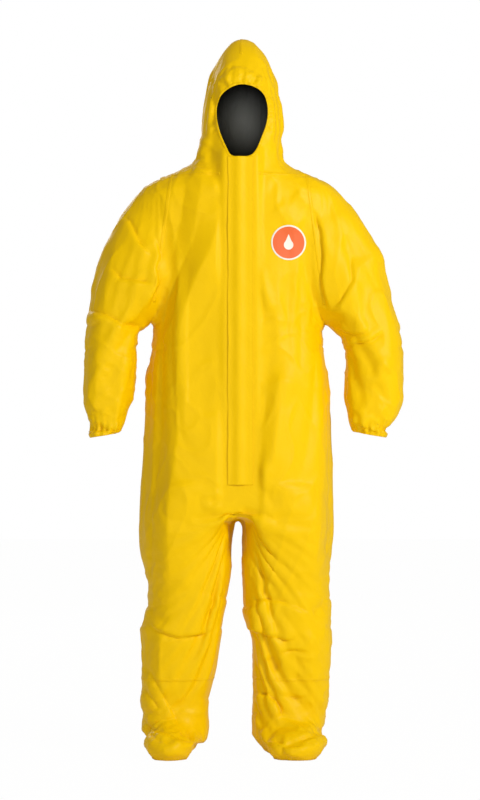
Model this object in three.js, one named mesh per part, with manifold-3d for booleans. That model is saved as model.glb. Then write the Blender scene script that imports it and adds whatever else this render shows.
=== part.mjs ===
// Hooded chemical protective coverall with a storm flap over its zipper, elastic wrists and attached
// socks, filled out as it is when it is worn. Every fabric panel is a curved sheet with a real thickness.
// Millimetres. +Z up, the front faces -Y, the wearer's left is +X, and the soles rest on z = 0.
import * as THREE from "three";
import { mergeVertices } from "three/addons/utils/BufferGeometryUtils.js";
import Module from "manifold-3d";

const wasm = await Module();
wasm.setup();

// ---------------------------------------------------------------- driving dimensions
const WALL = 2; // a fabric panel
const GAP = 0.3; // between pieces that lie on each other
const TAPE = 1.2; // a seam tape, hem or elastic
const TAPE_WIDTH = 14;
const AROUND_BODY = 20; // facets round the trunk and hood
const AROUND_LIMB = 12;
const FAR = 3000; // larger than the suit
const PAST = 30; // how far the inside of an open end runs on past the outside

const HEIGHT = 1850; // sole to hood tip
const ZIP_LOW = 712;
const ZIP_HIGH = 1514;
const FRONT_LOW = [-124, 640]; // the front line in side view, as [y, z]: the zipper lies on it
const FRONT_HIGH = [-102, 1530];

const KNEE = { z: 400, fold: 100 }; // the fold reaches this far above and below the knee
const CROTCH = 620;
// A slanting row of cuts across each limb: through a point, [x, z], and down a run, also [x, z].
const HIP_CUTS = { point: [0, CROTCH - 5], run: [0.35, -0.937], fold: [0, 100] };
const ANKLE = { top: 190, bottom: 128 };
const NECK = 1505;
const SHOULDER_SEAM = [178, 1485]; // [x, z] of the armhole's top
const UNDERARM = [222, 1150]; // and of its bottom
const ARM_CUTS = { point: [226, 1155], run: [0.42, -0.908], fold: [-10, 75], elbow: [100, 235] };
const SIDE_SEAM_Y = 20;

const TAPE_EDGE = 16; // the zipper tape's outer edge from the centre
const FLAP = { low: 700, high: 1522, thick: 1.2, free: 28, sewn: 36, crown: -8.6, face: -1.3 };
const PATCH = { x: 126, z: 1315, radius: 45 };

// ---------------------------------------------------------------- solids
const vec = (x, y, z) => new THREE.Vector3(x, y, z);

// A closed three.js geometry as a manifold-3d solid.
function solid(geometry) {
  const bare = geometry.clone();
  for (const name of Object.keys(bare.attributes)) if (name !== "position") bare.deleteAttribute(name);
  const merged = mergeVertices(bare, 1e-4);
  return new wasm.Manifold(
    new wasm.Mesh({
      numProp: 3,
      vertProperties: merged.attributes.position.array,
      triVerts: new Uint32Array(merged.index.array),
    }),
  );
}

// The largest body of a manifold-3d solid as a three.js geometry.
function geometryOf(made) {
  const bodies = made.decompose().sort((a, b) => b.volume() - a.volume());
  const mesh = bodies[0].getMesh();
  const corners = new Float32Array(mesh.numVert * 3);
  for (let i = 0; i < mesh.numVert; i++)
    corners.set(mesh.vertProperties.subarray(i * mesh.numProp, i * mesh.numProp + 3), i * 3);
  return new THREE.BufferGeometry()
    .setAttribute("position", new THREE.BufferAttribute(corners, 3))
    .setIndex(new THREE.BufferAttribute(mesh.triVerts, 1));
}

const unite = (solids) => solids.reduce((a, b) => a.add(b));

// A ring of a loft: a superellipse about a centre, between two half axes given as vectors.
const ring = (centre, across, depth, power = 2.3) => ({ centre, across, depth, power });

// A level ring, from its half width and the y of its front and back.
const level = (z, half, front, back, x = 0, power = 2.5) =>
  ring(vec(x, (front + back) / 2, z), vec(half, 0, 0), vec(0, (back - front) / 2, 0), power);

// An upright ring across the foot, from its half width and the z of its bottom and top.
const upright = (y, half, low, high, x) =>
  ring(vec(x, y, (low + high) / 2), vec(half, 0, 0), vec(0, 0, (high - low) / 2), 2.6);

// A closed solid through rings: a lathe's unit tube, with each vertex carried to its ring. The lathe is
// turned by half a facet, so a flat lies across each half axis, at that axis's length.
// A positive inset makes the inside of a fabric wall; open ends run on past the outside instead.
function loft(profile, inset, around, openEnd = false) {
  const rings = [...profile];
  if (openEnd) {
    const [before, end] = profile.slice(-2).map(({ centre }) => centre);
    const onwards = end.clone().sub(before).setLength(PAST).add(end);
    rings.push({ ...profile.at(-1), centre: onwards });
  }
  const last = rings.length - 1;
  const outline = rings.map((_, i) => new THREE.Vector2(1, i));
  const ends = [new THREE.Vector2(0, 0), new THREE.Vector2(0, last)];
  const lathe = new THREE.LatheGeometry([ends[0], ...outline, ends[1]], around, Math.PI / around);
  const place = lathe.attributes.position;
  const turn = vec(0, 0, 0).crossVectors(rings[0].across, rings[0].depth);
  const forward = turn.dot(rings[last].centre.clone().sub(rings[0].centre)) > 0;
  for (let i = 0; i < place.count; i++) {
    const index = Math.round(place.getY(i));
    const { centre, across, depth, power } = rings[index];
    const c = place.getX(i);
    const s = forward ? -place.getZ(i) : place.getZ(i);
    const bow = (value) => Math.sign(value) * Math.abs(value) ** (2 / power);
    const corner = Math.cos(Math.PI / around) ** (-2 / power);
    const point = centre.clone();
    point.addScaledVector(across.clone().normalize(), bow(c) * corner * (across.length() - inset));
    point.addScaledVector(depth.clone().normalize(), bow(s) * corner * (depth.length() - inset));
    const neighbour = rings[index === 0 ? 1 : last - 1].centre;
    const out = centre.clone().sub(neighbour).normalize();
    if (index === 0 || index === last) point.addScaledVector(out, -inset);
    place.setXYZ(i, point.x, point.y, point.z);
  }
  return solid(lathe);
}

// Everything on one side of a plane, starting half a gap past it.
function beyond(point, normal, gap = GAP / 2) {
  const box = new THREE.BoxGeometry(2 * FAR, 2 * FAR, FAR).translate(0, 0, FAR / 2 + gap);
  box.applyQuaternion(new THREE.Quaternion().setFromUnitVectors(vec(0, 0, 1), normal.clone().normalize()));
  return solid(box.translate(point.x, point.y, point.z));
}
const above = (z, gap) => beyond(vec(0, 0, z), vec(0, 0, 1), gap);
const below = (z, gap) => beyond(vec(0, 0, z), vec(0, 0, -1), gap);
const onSide = (side, gap) => beyond(vec(0, 0, 0), vec(side, 0, 0), gap);
const slab = (low, high) => above(low, 0).intersect(below(high, 0));
const strip = (x0, x1) => beyond(vec(x0, 0, 0), vec(1, 0, 0), 0).intersect(beyond(vec(x1, 0, 0), vec(-1, 0, 0), 0));

// ---------------------------------------------------------------- outer shape
const frontLean = (FRONT_HIGH[0] - FRONT_LOW[0]) / (FRONT_HIGH[1] - FRONT_LOW[1]);
const front = (z) => FRONT_LOW[0] + (z - FRONT_LOW[1]) * frontLean;

// z, half width, back
const trunkRings = [
  [CROTCH, 250, 167],
  [700, 250, 172],
  [780, 246, 175],
  [865, 243, 172],
  [960, 233, 163],
  [1070, 222, 160],
  [1150, 218, 163],
  [1260, 219, 162],
  [1350, 222, 154],
  [1425, 222, 138],
  [1465, 208, 120],
  [1490, 168, 108],
  [1508, 126, 101],
  [1530, 104, 98],
].map(([z, half, back]) => level(z, half, front(z), back));

// z, half width, front, back
const hoodRings = [
  [1490, 130, -103, 100],
  [1520, 112, -102, 100],
  [1545, 103, -102, 104],
  [1580, 99, -103, 118],
  [1630, 101, -102, 135],
  [1680, 99, -98, 146],
  [1715, 91, -91, 147],
  [1750, 83, -78, 139],
  [1785, 68, -56, 125],
  [1815, 49, -28, 106],
  [1837, 30, 0, 82],
  [HEIGHT, 12, 20, 60],
].map(([z, half, y0, y1]) => level(z, half, y0, y1, 0, 2.2));

// Centre x, y, z of the sleeve, its half width across the arm and its half depth.
const sleevePath = [
  [120, 25, 1372, 116, 104],
  [205, 22, 1326, 129, 106],
  [262, 15, 1260, 112, 98],
  [300, 8, 1180, 93, 88],
  [322, 0, 1095, 78, 80],
  [338, -8, 1020, 70, 74],
  [345, -18, 950, 65, 66],
  [348, -30, 885, 52, 54],
  [349, -38, 850, 40, 42],
  [349, -42, 822, 33, 36],
];
const CUFF_Z = 822;

function sleeveRings(side) {
  const centres = sleevePath.map(([x, y, z]) => vec(side * x, y, z));
  return sleevePath.map(([, , , half, deep], i) => {
    const from = centres[Math.max(i - 1, 0)];
    const to = centres[Math.min(i + 1, centres.length - 1)];
    const run = vec(to.x - from.x, 0, to.z - from.z).normalize();
    const across = vec(-run.z * side, 0, run.x * side).multiplyScalar(half * side);
    return ring(centres[i], across, vec(0, deep, 0), 2.2);
  });
}

// Per side: the centre line's x, then half width, front and back, from the crotch to the ankle.
const legLevels = [700, 640, 560, 460, 400, 340, 260, 190, 130, 80, 45, 12];
const legFront = [-123, -123, -118, -112, -108, -102, -92, -82, -76, -72, -68, -62];
const legBack = [168, 164, 150, 135, 128, 122, 115, 110, 106, 102, 97, 88];
const legs = {
  left: {
    side: 1,
    x: [126, 126, 121, 122, 125, 132, 140, 139, 136, 132, 131, 131],
    half: [120, 124, 118, 114, 112, 110, 105, 103, 102, 99, 92, 78],
  },
  right: {
    side: -1,
    x: [126, 127, 137, 133, 139, 153, 158, 168, 173, 173, 172, 172],
    half: [120, 123, 120, 110, 106, 102, 96, 88, 84, 82, 74, 60],
  },
};
const legRings = ({ side, x, half }) =>
  legLevels.map((z, i) => level(z, half[i], legFront[i], legBack[i], side * x[i], 2.3));

// y, half width, bottom and top of the foot, from heel to toe; the bottom is cut flat at the sole.
const footRings = ({ side, x }) =>
  [
    [98, 24, 16, 52],
    [82, 46, 2, 84],
    [40, 64, -8, 118],
    [-20, 70, -8, 122],
    [-80, 68, -8, 104],
    [-128, 58, -8, 80],
    [-158, 38, 0, 58],
    [-175, 16, 12, 40],
  ].map(([y, wide, low, high]) => upright(y, wide, low, high, side * x.at(-1)));

// The whole suit as one solid, its outline moved in by inset.
function body(inset) {
  const parts = [loft(trunkRings, inset, AROUND_BODY), loft(hoodRings, inset, AROUND_BODY)];
  for (const leg of Object.values(legs)) {
    parts.push(loft(sleeveRings(leg.side), inset, AROUND_LIMB, inset > 0));
    parts.push(loft(legRings(leg), inset, AROUND_LIMB));
    parts.push(loft(footRings(leg), inset, AROUND_LIMB));
  }
  return unite(parts).intersect(above(Math.max(inset, 0), 0));
}

// The face opening, grown by a margin: an egg that is narrow at the chin.
const FACE = { top: 1723, wide: 1642, chin: 1533, half: 68 };
function facePrism(margin) {
  const { top, wide, chin, half } = FACE;
  const egg = new THREE.Shape();
  egg.moveTo(0, top + margin);
  egg.bezierCurveTo(44, top + margin, half + margin, top - 32, half + margin, wide);
  egg.bezierCurveTo(half + margin, wide - 42, 34 + margin, chin - margin, 0, chin - margin);
  egg.bezierCurveTo(-34 - margin, chin - margin, -half - margin, wide - 42, -half - margin, wide);
  egg.bezierCurveTo(-half - margin, top - 32, -44, top + margin, 0, top + margin);
  const cut = new THREE.ExtrudeGeometry(egg, { depth: FAR, bevelEnabled: false, curveSegments: 8 });
  return solid(cut.rotateX(Math.PI / 2).translate(0, 0, 0)).intersect(beyond(vec(0, SIDE_SEAM_Y, 0), vec(0, -1, 0)));
}

const outside = body(0);
const skin = outside.subtract(body(WALL)).subtract(facePrism(0));
const layer = (from, to) => body(from).subtract(body(to)); // a skin between two insets
const overlay = layer(-GAP - TAPE, -GAP); // what is taped on the outside
const lining = layer(WALL + GAP, WALL + GAP + TAPE); // what lies on the inside

// Two half spaces at a distance down a limb's row of cuts: what comes before the cut, and after it.
function cutAt({ point: [x, z], run: [rx, rz] }, side, distance) {
  const run = vec(side * rx, 0, rz).normalize();
  const place = vec(side * x, 0, z).addScaledVector(run, distance);
  return { after: beyond(place, run), before: beyond(place, run.clone().negate()) };
}

// ---------------------------------------------------------------- nodes
const YELLOW = 0xf5c518;
const finish = (color, roughness) => new THREE.MeshStandardMaterial({ color, roughness, metalness: 0 });
const fabric = finish(YELLOW, 0.45);
const tapeFinish = finish(0xe8b614, 0.4);
const elasticFinish = finish(0xf1ead6, 0.8);
const zipFinish = finish(0xe6b800, 0.5);
const patchFinish = finish(0xe8642a, 0.5);

const suit = new THREE.Group();
function add(name, shape, material) {
  const mesh = new THREE.Mesh(shape.isBufferGeometry ? shape : geometryOf(shape), material);
  mesh.name = name;
  suit.add(mesh);
  return mesh;
}

const armholePoint = (side) => vec(side * UNDERARM[0], 0, UNDERARM[1]);
const armholeNormal = (side) =>
  vec(side * (SHOULDER_SEAM[1] - UNDERARM[1]), 0, UNDERARM[0] - SHOULDER_SEAM[0]).normalize();
const inSleeve = (side, gap) => beyond(armholePoint(side), armholeNormal(side), gap);
const inTrunk = (side, gap) => beyond(armholePoint(side), armholeNormal(side).negate(), gap);
const inFront = beyond(vec(0, SIDE_SEAM_Y, 0), vec(0, -1, 0));
const inBack = beyond(vec(0, SIDE_SEAM_Y, 0), vec(0, 1, 0));
const frontStrip = strip(-FLAP.free - 2, FLAP.sewn + 2).intersect(inFront); // kept clear for the storm flap

// Trunk: two front and two back panels, which end above the crotch.
const hipCut = (side, distance) => cutAt(HIP_CUTS, side, distance);
const trunkBand = below(NECK).intersect(inTrunk(1)).intersect(inTrunk(-1)).intersect(
  unite([1, -1].map((side) => hipCut(side, HIP_CUTS.fold[0]).before.intersect(onSide(side, -GAP)))),
);
const trunkSkin = skin.intersect(trunkBand);
for (const { side, name } of [
  { side: 1, name: "left" },
  { side: -1, name: "right" },
]) {
  add(`front_panel_${name}`, trunkSkin.intersect(inFront).intersect(onSide(side)), fabric);
  add(`back_panel_${name}`, trunkSkin.intersect(inBack).intersect(onSide(side)), fabric);
}
const neckSeam = overlay.intersect(slab(NECK - TAPE_WIDTH, NECK - 2)).intersect(inTrunk(1)).intersect(inTrunk(-1));
add("neck_seam_tape", neckSeam.subtract(frontStrip), tapeFinish);

// Hood: two panels above a plane that rises to the back, and the soft neck below it.
const neckPoint = vec(0, -103, 1562);
const neckNormal = vec(0, -0.325, 0.946);
const hoodBand = beyond(neckPoint, neckNormal);
const neckBand = beyond(neckPoint, neckNormal.clone().negate()).intersect(above(NECK));
const rim = facePrism(10).subtract(facePrism(0));
add("neck_fold", skin.intersect(neckBand), fabric);
add("hood_panel_left", skin.intersect(hoodBand).intersect(onSide(1)), fabric);
add("hood_panel_right", skin.intersect(hoodBand).intersect(onSide(-1)), fabric);
add("face_hem", overlay.intersect(rim).intersect(hoodBand), tapeFinish);
add("face_elastic", lining.intersect(rim).intersect(hoodBand), elasticFinish);

const centreStrip = strip(-TAPE_WIDTH / 2, TAPE_WIDTH / 2);
add("hood_seam_tape", overlay.intersect(hoodBand).intersect(centreStrip).subtract(facePrism(12)), tapeFinish);
const backHalf = beyond(vec(0, SIDE_SEAM_Y, 0), vec(0, 1, 0), 40);
add("back_seam_tape", overlay.intersect(trunkBand).intersect(below(NECK - TAPE_WIDTH)).intersect(centreStrip).intersect(backHalf), tapeFinish);
const waistBand = slab(985, 1010).intersect(backHalf);
add("waist_elastic", lining.intersect(waistBand), elasticFinish);

// Sleeves and legs.
const hemBand = slab(CUFF_Z - 4, CUFF_Z + 14);
const sidePanel = beyond(vec(0, SIDE_SEAM_Y - TAPE_WIDTH / 2, 0), vec(0, 1, 0), 0).intersect(
  beyond(vec(0, SIDE_SEAM_Y + TAPE_WIDTH / 2, 0), vec(0, -1, 0), 0),
);
for (const [name, leg] of Object.entries(legs)) {
  const { side } = leg;
  const half = onSide(side);
  const arm = skin.intersect(inSleeve(side)).intersect(half).intersect(above(700));
  const [cap, foldEnd, elbowTop, elbowEnd] = [...ARM_CUTS.fold, ...ARM_CUTS.elbow].map((t) => cutAt(ARM_CUTS, side, t));
  add(`sleeve_cap_${name}`, arm.intersect(cap.before), fabric);
  add(`shoulder_fold_${name}`, arm.intersect(cap.after).intersect(foldEnd.before), fabric);
  add(`sleeve_upper_${name}`, arm.intersect(foldEnd.after).intersect(elbowTop.before), fabric);
  add(`elbow_fold_${name}`, arm.intersect(elbowTop.after).intersect(elbowEnd.before), fabric);
  add(`sleeve_lower_${name}`, arm.intersect(elbowEnd.after).intersect(above(CUFF_Z)), fabric);
  const wrist = half.intersect(inSleeve(side, 20)).intersect(hemBand);
  add(`cuff_hem_${name}`, overlay.intersect(wrist).intersect(above(CUFF_Z, 0)), tapeFinish);
  add(`cuff_elastic_${name}`, lining.intersect(wrist).intersect(above(CUFF_Z, 0)), elasticFinish);
  const seam = beyond(armholePoint(side), armholeNormal(side).negate(), GAP);
  const seamEnd = beyond(armholePoint(side).addScaledVector(armholeNormal(side), -TAPE_WIDTH), armholeNormal(side), 0);
  const armhole = overlay.intersect(seam).intersect(seamEnd).intersect(above(UNDERARM[1] + 12)).intersect(half);
  add(`armhole_tape_${name}`, armhole.intersect(below(NECK - TAPE_WIDTH)), tapeFinish);
  const sideStrip = overlay.intersect(half).intersect(sidePanel).intersect(inTrunk(side, 1));
  add(`side_seam_tape_${name}`, sideStrip.intersect(slab(KNEE.z, UNDERARM[1] + 2)).intersect(trunkBand), tapeFinish);

  const limb = skin.intersect(half).intersect(inTrunk(side));
  const kneeTop = KNEE.z + KNEE.fold;
  const kneeEnd = KNEE.z - KNEE.fold;
  const [hip, hipEnd] = HIP_CUTS.fold.map((distance) => hipCut(side, distance));
  add(`hip_fold_${name}`, limb.intersect(hip.after).intersect(hipEnd.before), fabric);
  add(`leg_upper_${name}`, limb.intersect(hipEnd.after).intersect(above(kneeTop)), fabric);
  add(`knee_fold_${name}`, limb.intersect(below(kneeTop)).intersect(above(kneeEnd)), fabric);
  add(`leg_lower_${name}`, limb.intersect(below(kneeEnd)).intersect(above(ANKLE.top)), fabric);
  add(`ankle_fold_${name}`, limb.intersect(below(ANKLE.top)).intersect(above(ANKLE.bottom)), fabric);
  add(`sock_${name}`, limb.intersect(below(ANKLE.bottom)), fabric);
  const sockSeam = overlay.intersect(half).intersect(slab(ANKLE.top + GAP, ANKLE.top + TAPE_WIDTH));
  add(`sock_seam_tape_${name}`, sockSeam, tapeFinish);
}

// ---------------------------------------------------------------- zipper, slider and storm flap
// Shapes are drawn in x and y, with y from the front line outwards, and run up the front line.
const lean = Math.atan(frontLean);
function upFront(shape, low, high) {
  const run = new THREE.ExtrudeGeometry(shape, { depth: (high - low) / Math.cos(lean), bevelEnabled: false });
  return run.rotateX(-lean).translate(0, front(low), low);
}
const outline = (points) => new THREE.Shape(points.map(([x, y]) => new THREE.Vector2(x, y)));
const bar = (x0, x1, y0, y1) =>
  outline([
    [x0, y0],
    [x1, y0],
    [x1, y1],
    [x0, y1],
  ]);

const tapeFace = -GAP - 0.8;
const coil = { back: tapeFace - GAP, face: tapeFace - GAP - 1.6, inner: 0.15, outer: 2.8 };
for (const [name, side] of [
  ["left", 1],
  ["right", -1],
]) {
  add(`zipper_tape_${name}`, upFront(bar(side * 0.15, side * TAPE_EDGE, -GAP, tapeFace), ZIP_LOW - 6, ZIP_HIGH + 4), zipFinish);
  add(`zipper_coil_${name}`, upFront(bar(side * coil.inner, side * coil.outer, coil.back, coil.face), ZIP_LOW, ZIP_HIGH), zipFinish);
}
const stopShape = bar(-coil.outer - 0.6, coil.outer + 0.6, coil.back, coil.face - 0.4);
add("zipper_top_stop", upFront(stopShape, ZIP_HIGH + GAP, ZIP_HIGH + 3.4), zipFinish);
add("zipper_bottom_stop", upFront(stopShape, ZIP_LOW - 6, ZIP_LOW - GAP), zipFinish);

// The slider's body straddles the coils, and its bail holds the pull's pin.
const SLIDER = { low: 1496, high: 1510, half: 5.6, face: coil.face - GAP - 1 };
const channel = { half: coil.outer + 0.3, face: coil.face - GAP };
const straddle = outline([
  [-SLIDER.half, coil.back],
  [-SLIDER.half, SLIDER.face],
  [SLIDER.half, SLIDER.face],
  [SLIDER.half, coil.back],
  [channel.half, coil.back],
  [channel.half, channel.face],
  [-channel.half, channel.face],
  [-channel.half, coil.back],
]);
const PIN = { z: 1501, radius: 0.7, hole: 1.1, half: 3 };
const pinY = front(PIN.z) + SLIDER.face - 0.4 - PIN.hole;
const bail = solid(new THREE.BoxGeometry(2.4, 3.4, 6).translate(0, front(PIN.z) + SLIDER.face - 1.4, PIN.z));
const pinHole = new THREE.CylinderGeometry(PIN.hole, PIN.hole, 20, 12).rotateZ(Math.PI / 2).translate(0, pinY, PIN.z);
add("slider_body", solid(upFront(straddle, SLIDER.low, SLIDER.high)).add(bail).subtract(solid(pinHole)), zipFinish);

// The pull hangs from its pin: a pin, two arms and a grip.
const PULL = { length: 34, half: 4, thick: 1.2, arm: 1 };
const pin = new THREE.CylinderGeometry(PIN.radius, PIN.radius, 2 * PIN.half, 12).rotateZ(Math.PI / 2).translate(0, pinY, PIN.z);
const pullFace = outline([
  [-PULL.half, 1],
  [-PIN.half + PULL.arm, 1],
  [-PIN.half + PULL.arm, -8],
  [PIN.half - PULL.arm, -8],
  [PIN.half - PULL.arm, 1],
  [PULL.half, 1],
  [PULL.half, 2 - PULL.length],
  [PULL.half - 2, -PULL.length],
  [2 - PULL.half, -PULL.length],
  [-PULL.half, 2 - PULL.length],
]);
const plate = new THREE.ExtrudeGeometry(pullFace, { depth: PULL.thick, bevelEnabled: false });
plate.translate(0, 0, -PULL.thick / 2).rotateX(Math.PI / 2 - lean).translate(0, pinY, PIN.z);
add("pull_tab", solid(plate).add(solid(pin)), zipFinish);

// The storm flap is sewn down along its left edge, arches over the slider and lies flat at its free edge.
const flapInside = [
  [FLAP.sewn, -GAP],
  [TAPE_EDGE + 8, -GAP],
  [TAPE_EDGE, FLAP.crown],
  [-12, FLAP.crown],
  [-18, FLAP.face],
  [-FLAP.free, FLAP.face],
];
const flapShape = outline([...flapInside, ...flapInside.map(([x, y]) => [x, y - FLAP.thick]).reverse()]);
add("storm_flap", upFront(flapShape, FLAP.low, FLAP.high), fabric);
const strand = bar(1 - FLAP.free, -19, FLAP.face + GAP, -GAP);
add("flap_adhesive_strip", upFront(strand, FLAP.low + 8, FLAP.high - 12), elasticFinish);

// A round cloth patch on the left chest.
const patchDisc = new THREE.CylinderGeometry(PATCH.radius, PATCH.radius, 400, 24).translate(PATCH.x, -200, PATCH.z);
add("chest_patch", overlay.intersect(solid(patchDisc.clone())), patchFinish);

export default suit;
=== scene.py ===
"""Hooded chemical protective suit: cloth, seams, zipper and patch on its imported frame."""
import math

import bmesh
import bpy
import numpy as np
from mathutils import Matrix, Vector, noise
from mathutils.bvhtree import BVHTree


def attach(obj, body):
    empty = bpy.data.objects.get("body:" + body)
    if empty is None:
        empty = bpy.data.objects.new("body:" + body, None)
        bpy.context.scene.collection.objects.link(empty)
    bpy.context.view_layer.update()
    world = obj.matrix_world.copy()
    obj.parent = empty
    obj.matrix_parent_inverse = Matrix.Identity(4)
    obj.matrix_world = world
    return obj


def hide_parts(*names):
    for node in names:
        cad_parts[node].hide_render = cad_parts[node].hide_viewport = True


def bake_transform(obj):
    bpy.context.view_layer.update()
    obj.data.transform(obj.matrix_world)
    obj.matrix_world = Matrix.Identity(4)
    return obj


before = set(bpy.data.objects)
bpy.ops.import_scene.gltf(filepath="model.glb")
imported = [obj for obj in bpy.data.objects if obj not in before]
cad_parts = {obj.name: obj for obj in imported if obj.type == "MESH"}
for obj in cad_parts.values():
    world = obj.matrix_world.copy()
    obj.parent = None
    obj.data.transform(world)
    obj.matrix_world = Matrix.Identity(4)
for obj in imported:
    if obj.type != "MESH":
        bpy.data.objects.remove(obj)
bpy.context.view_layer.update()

bl_info = {
    "name": "Protective Suit",
    "version": (1, 0, 0),
    "blender": (4, 5, 0),
    "location": "3D View > Sidebar > Suit",
    "description": "Builds a hooded coverall of coated fabric, piece by piece, on its frame",
    "category": "Object",
}

SIDES = (("left", 1), ("right", -1))
CLOTH_REACH = 0.022  # the furthest that draping moves a point
shared = {}  # the finished cloth, which later operators lay their pieces on


# ------------------------------------------------------------------ properties
def colour(name, words, value):
    return bpy.props.FloatVectorProperty(
        name=name, description=words, subtype="COLOR", size=3, min=0, max=1, default=value)


def length(name, words, value):
    return bpy.props.FloatProperty(name=name, description=words, default=value, unit="LENGTH")


class SuitColours(bpy.types.PropertyGroup):
    fabric: colour("Fabric", "Coated outer face of every panel", (0.90, 0.57, 0.0))
    # painted shade: a darker, more orange colour mixed into the fabric where it dips into folds
    shade: colour("Shade", "Fabric where it folds inwards", (0.58, 0.23, 0.002))
    # dark inside of the hood and of the trunk; in the hood it carries a painted lit patch at the back and
    # painted shade at the edges, and in the trunk it is painted shade
    lining: colour("Lining", "Inner face of the hood", (0.03, 0.031, 0.031))
    tape: colour("Tape", "Seam tapes and hems", (0.88, 0.55, 0.0))
    zipper: colour("Zipper", "Zipper tapes, coils, slider and pull", (0.86, 0.5, 0.01))
    elastic: colour("Elastic", "Elastic inside the hems", (0.72, 0.66, 0.5))
    patch: colour("Patch", "Face of the chest patch", (0.84, 0.13, 0.022))
    rim: colour("Rim", "Rim and drop on the chest patch", (0.9, 0.88, 0.84))
    backdrop: colour("Backdrop", "Floor and background", (0.95, 0.95, 0.95))


class SuitSizes(bpy.types.PropertyGroup):
    voxel: length("Voxel", "Grid of the cloth before it is smoothed", 0.0095)
    hem: length("Face hem", "Width of the hem round the face opening", 0.007)
    seam: length("Seam", "Width of a seam tape", 0.009)
    lens_distance: length("Camera distance", "Distance of the camera from the suit", 9.0)
    cloth_frames: bpy.props.IntProperty(
        name="Cloth frames", description="Frames of cloth simulation", default=22, min=1)
    cloth_growth: bpy.props.FloatProperty(
        name="Spare cloth", description="Share that the cloth grows by while it settles", default=0.028)


# ------------------------------------------------------------------ shader helper
class Tree:
    """Adds nodes to one material. A socket goes by its name, or as i and its number."""

    def __init__(self, material):
        self.tree = material.node_tree

    def node(self, kind, settings=None, out=0, **sockets):
        made = self.tree.nodes.new(kind)
        for key, value in (settings or {}).items():
            setattr(made, key, value)
        for key, value in sockets.items():
            numbered = key[0] == "i" and key[1:].isdigit()
            socket = made.inputs[int(key[1:]) if numbered else key.replace("_", " ")]
            if isinstance(value, Value):
                self.tree.links.new(value.socket, socket)
            else:
                socket.default_value = value
        return Value(self, made.outputs[out])

    def mix(self, factor, a, b, blend="MIX"):
        """Two colours mixed."""
        return self.node("ShaderNodeMix", {"data_type": "RGBA", "blend_type": blend}, out=2, i0=factor,
                         i6=a if isinstance(a, Value) else (*a, 1), i7=b if isinstance(b, Value) else (*b, 1))


class Value:
    """A socket that Python's operators work on."""

    def __init__(self, tree, socket):
        self.tree, self.socket = tree, socket

    def math(self, operation, *others):
        inputs = {f"i{number}": other for number, other in enumerate(others, 1)}
        return self.tree.node("ShaderNodeMath", {"operation": operation}, i0=self, **inputs)

    def __add__(self, other):
        return self.math("ADD", other)

    def __mul__(self, other):
        return self.math("MULTIPLY", other)

    def __sub__(self, other):
        return self.math("SUBTRACT", other)

    def __rsub__(self, other):
        return self.tree.node("ShaderNodeMath", {"operation": "SUBTRACT"}, i0=other, i1=self)

    __radd__, __rmul__ = __add__, __mul__

    def between(self, low, high):
        """0 below low, 1 above high, smooth between."""
        return self.tree.node("ShaderNodeMapRange", {"interpolation_type": "SMOOTHSTEP"},
                              i0=self, i1=low, i2=high, i3=0.0, i4=1.0)


def new_material(name, roughness=0.5, **constants):
    material = bpy.data.materials.new(name)
    material.use_nodes = True
    shader = material.node_tree.nodes["Principled BSDF"]
    shader.inputs["Roughness"].default_value = roughness
    for key, value in constants.items():
        shader.inputs[key.replace("_", " ")].default_value = value
    return material, Tree(material), shader


def link(tree, value, socket):
    tree.tree.links.new(value.socket, socket)


def roughen(tree, shader, height, strength, distance):
    """Bump from a height that varies over the surface."""
    bump = tree.node("ShaderNodeBump", Strength=strength, Distance=distance, Height=height)
    link(tree, bump, shader.inputs["Normal"])


def dimmed(tint, share):
    """A share of a colour."""
    return tuple(share * c for c in tint)


def rest_place(tree):
    """Where a point of the piece lies at rest, so that the pattern stays on the cloth as it bends."""
    return tree.node("ShaderNodeAttribute", {"attribute_type": "GEOMETRY", "attribute_name": "rest"}, out=1)


def face_gathers(tree, place):
    """Fine gathers that run out from the elastic round the face opening."""
    apart = tree.node("ShaderNodeSeparateXYZ", Vector=place)
    across = apart - 0.008
    up = Value(tree, apart.socket.node.outputs[2]) - 1.655
    front_side = 1 - Value(tree, apart.socket.node.outputs[1]).between(-0.075, -0.035)
    away = ((across * 14.7) * (across * 14.7) + (up * 11.1) * (up * 11.1)).math("SQRT")
    near = (1 - away.between(1.1, 1.6)) * front_side * up.between(-0.07, -0.03)
    wander = tree.node("ShaderNodeTexNoise", Vector=place, Scale=28.0, Detail=2.0)
    angle = across.math("ARCTAN2", up)
    return (angle * 21 + wander * 9).math("SINE") * near


def cloth_material(name, tint, shade, gathered=False):
    """Coated cloth: satin, faintly crinkled, with painted shade, a darker and more orange colour, where it
    folds inwards.
    """
    material, tree, shader = new_material(name, 0.4, Specular_IOR_Level=0.11)
    place = rest_place(tree)
    cloud = tree.node("ShaderNodeTexNoise", Vector=place, Scale=5.0, Detail=3.0)
    grain = tree.node("ShaderNodeTexNoise", Vector=place, Scale=900.0, Detail=2.0)
    crinkle = tree.node("ShaderNodeTexVoronoi", {"feature": "DISTANCE_TO_EDGE"}, Vector=place, Scale=26.0)
    soft = tree.node("ShaderNodeTexNoise", Vector=place, Scale=34.0, Detail=4.0, Roughness=0.55)
    dip = tree.node("ShaderNodeAttribute", {"attribute_type": "GEOMETRY", "attribute_name": "dip"}, out=2)
    # painted shade: the shade colour mixed in where the cloth dips into a crease
    base = tree.mix(dip.between(0.3, 1.7) * 0.8, tint, shade)
    base = tree.mix(cloud.between(0.35, 0.7) * 0.1, base, dimmed(tint, 0.8))
    link(tree, base, shader.inputs["Base Color"])
    link(tree, 0.34 + 0.12 * cloud + 0.06 * grain, shader.inputs["Roughness"])
    height = soft * 0.5 + crinkle.between(0.0, 0.12) * 0.05 + grain * 0.02
    if gathered:
        height = height + face_gathers(tree, place)
    roughen(tree, shader, height, 0.35, 0.004)
    return material


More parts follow.
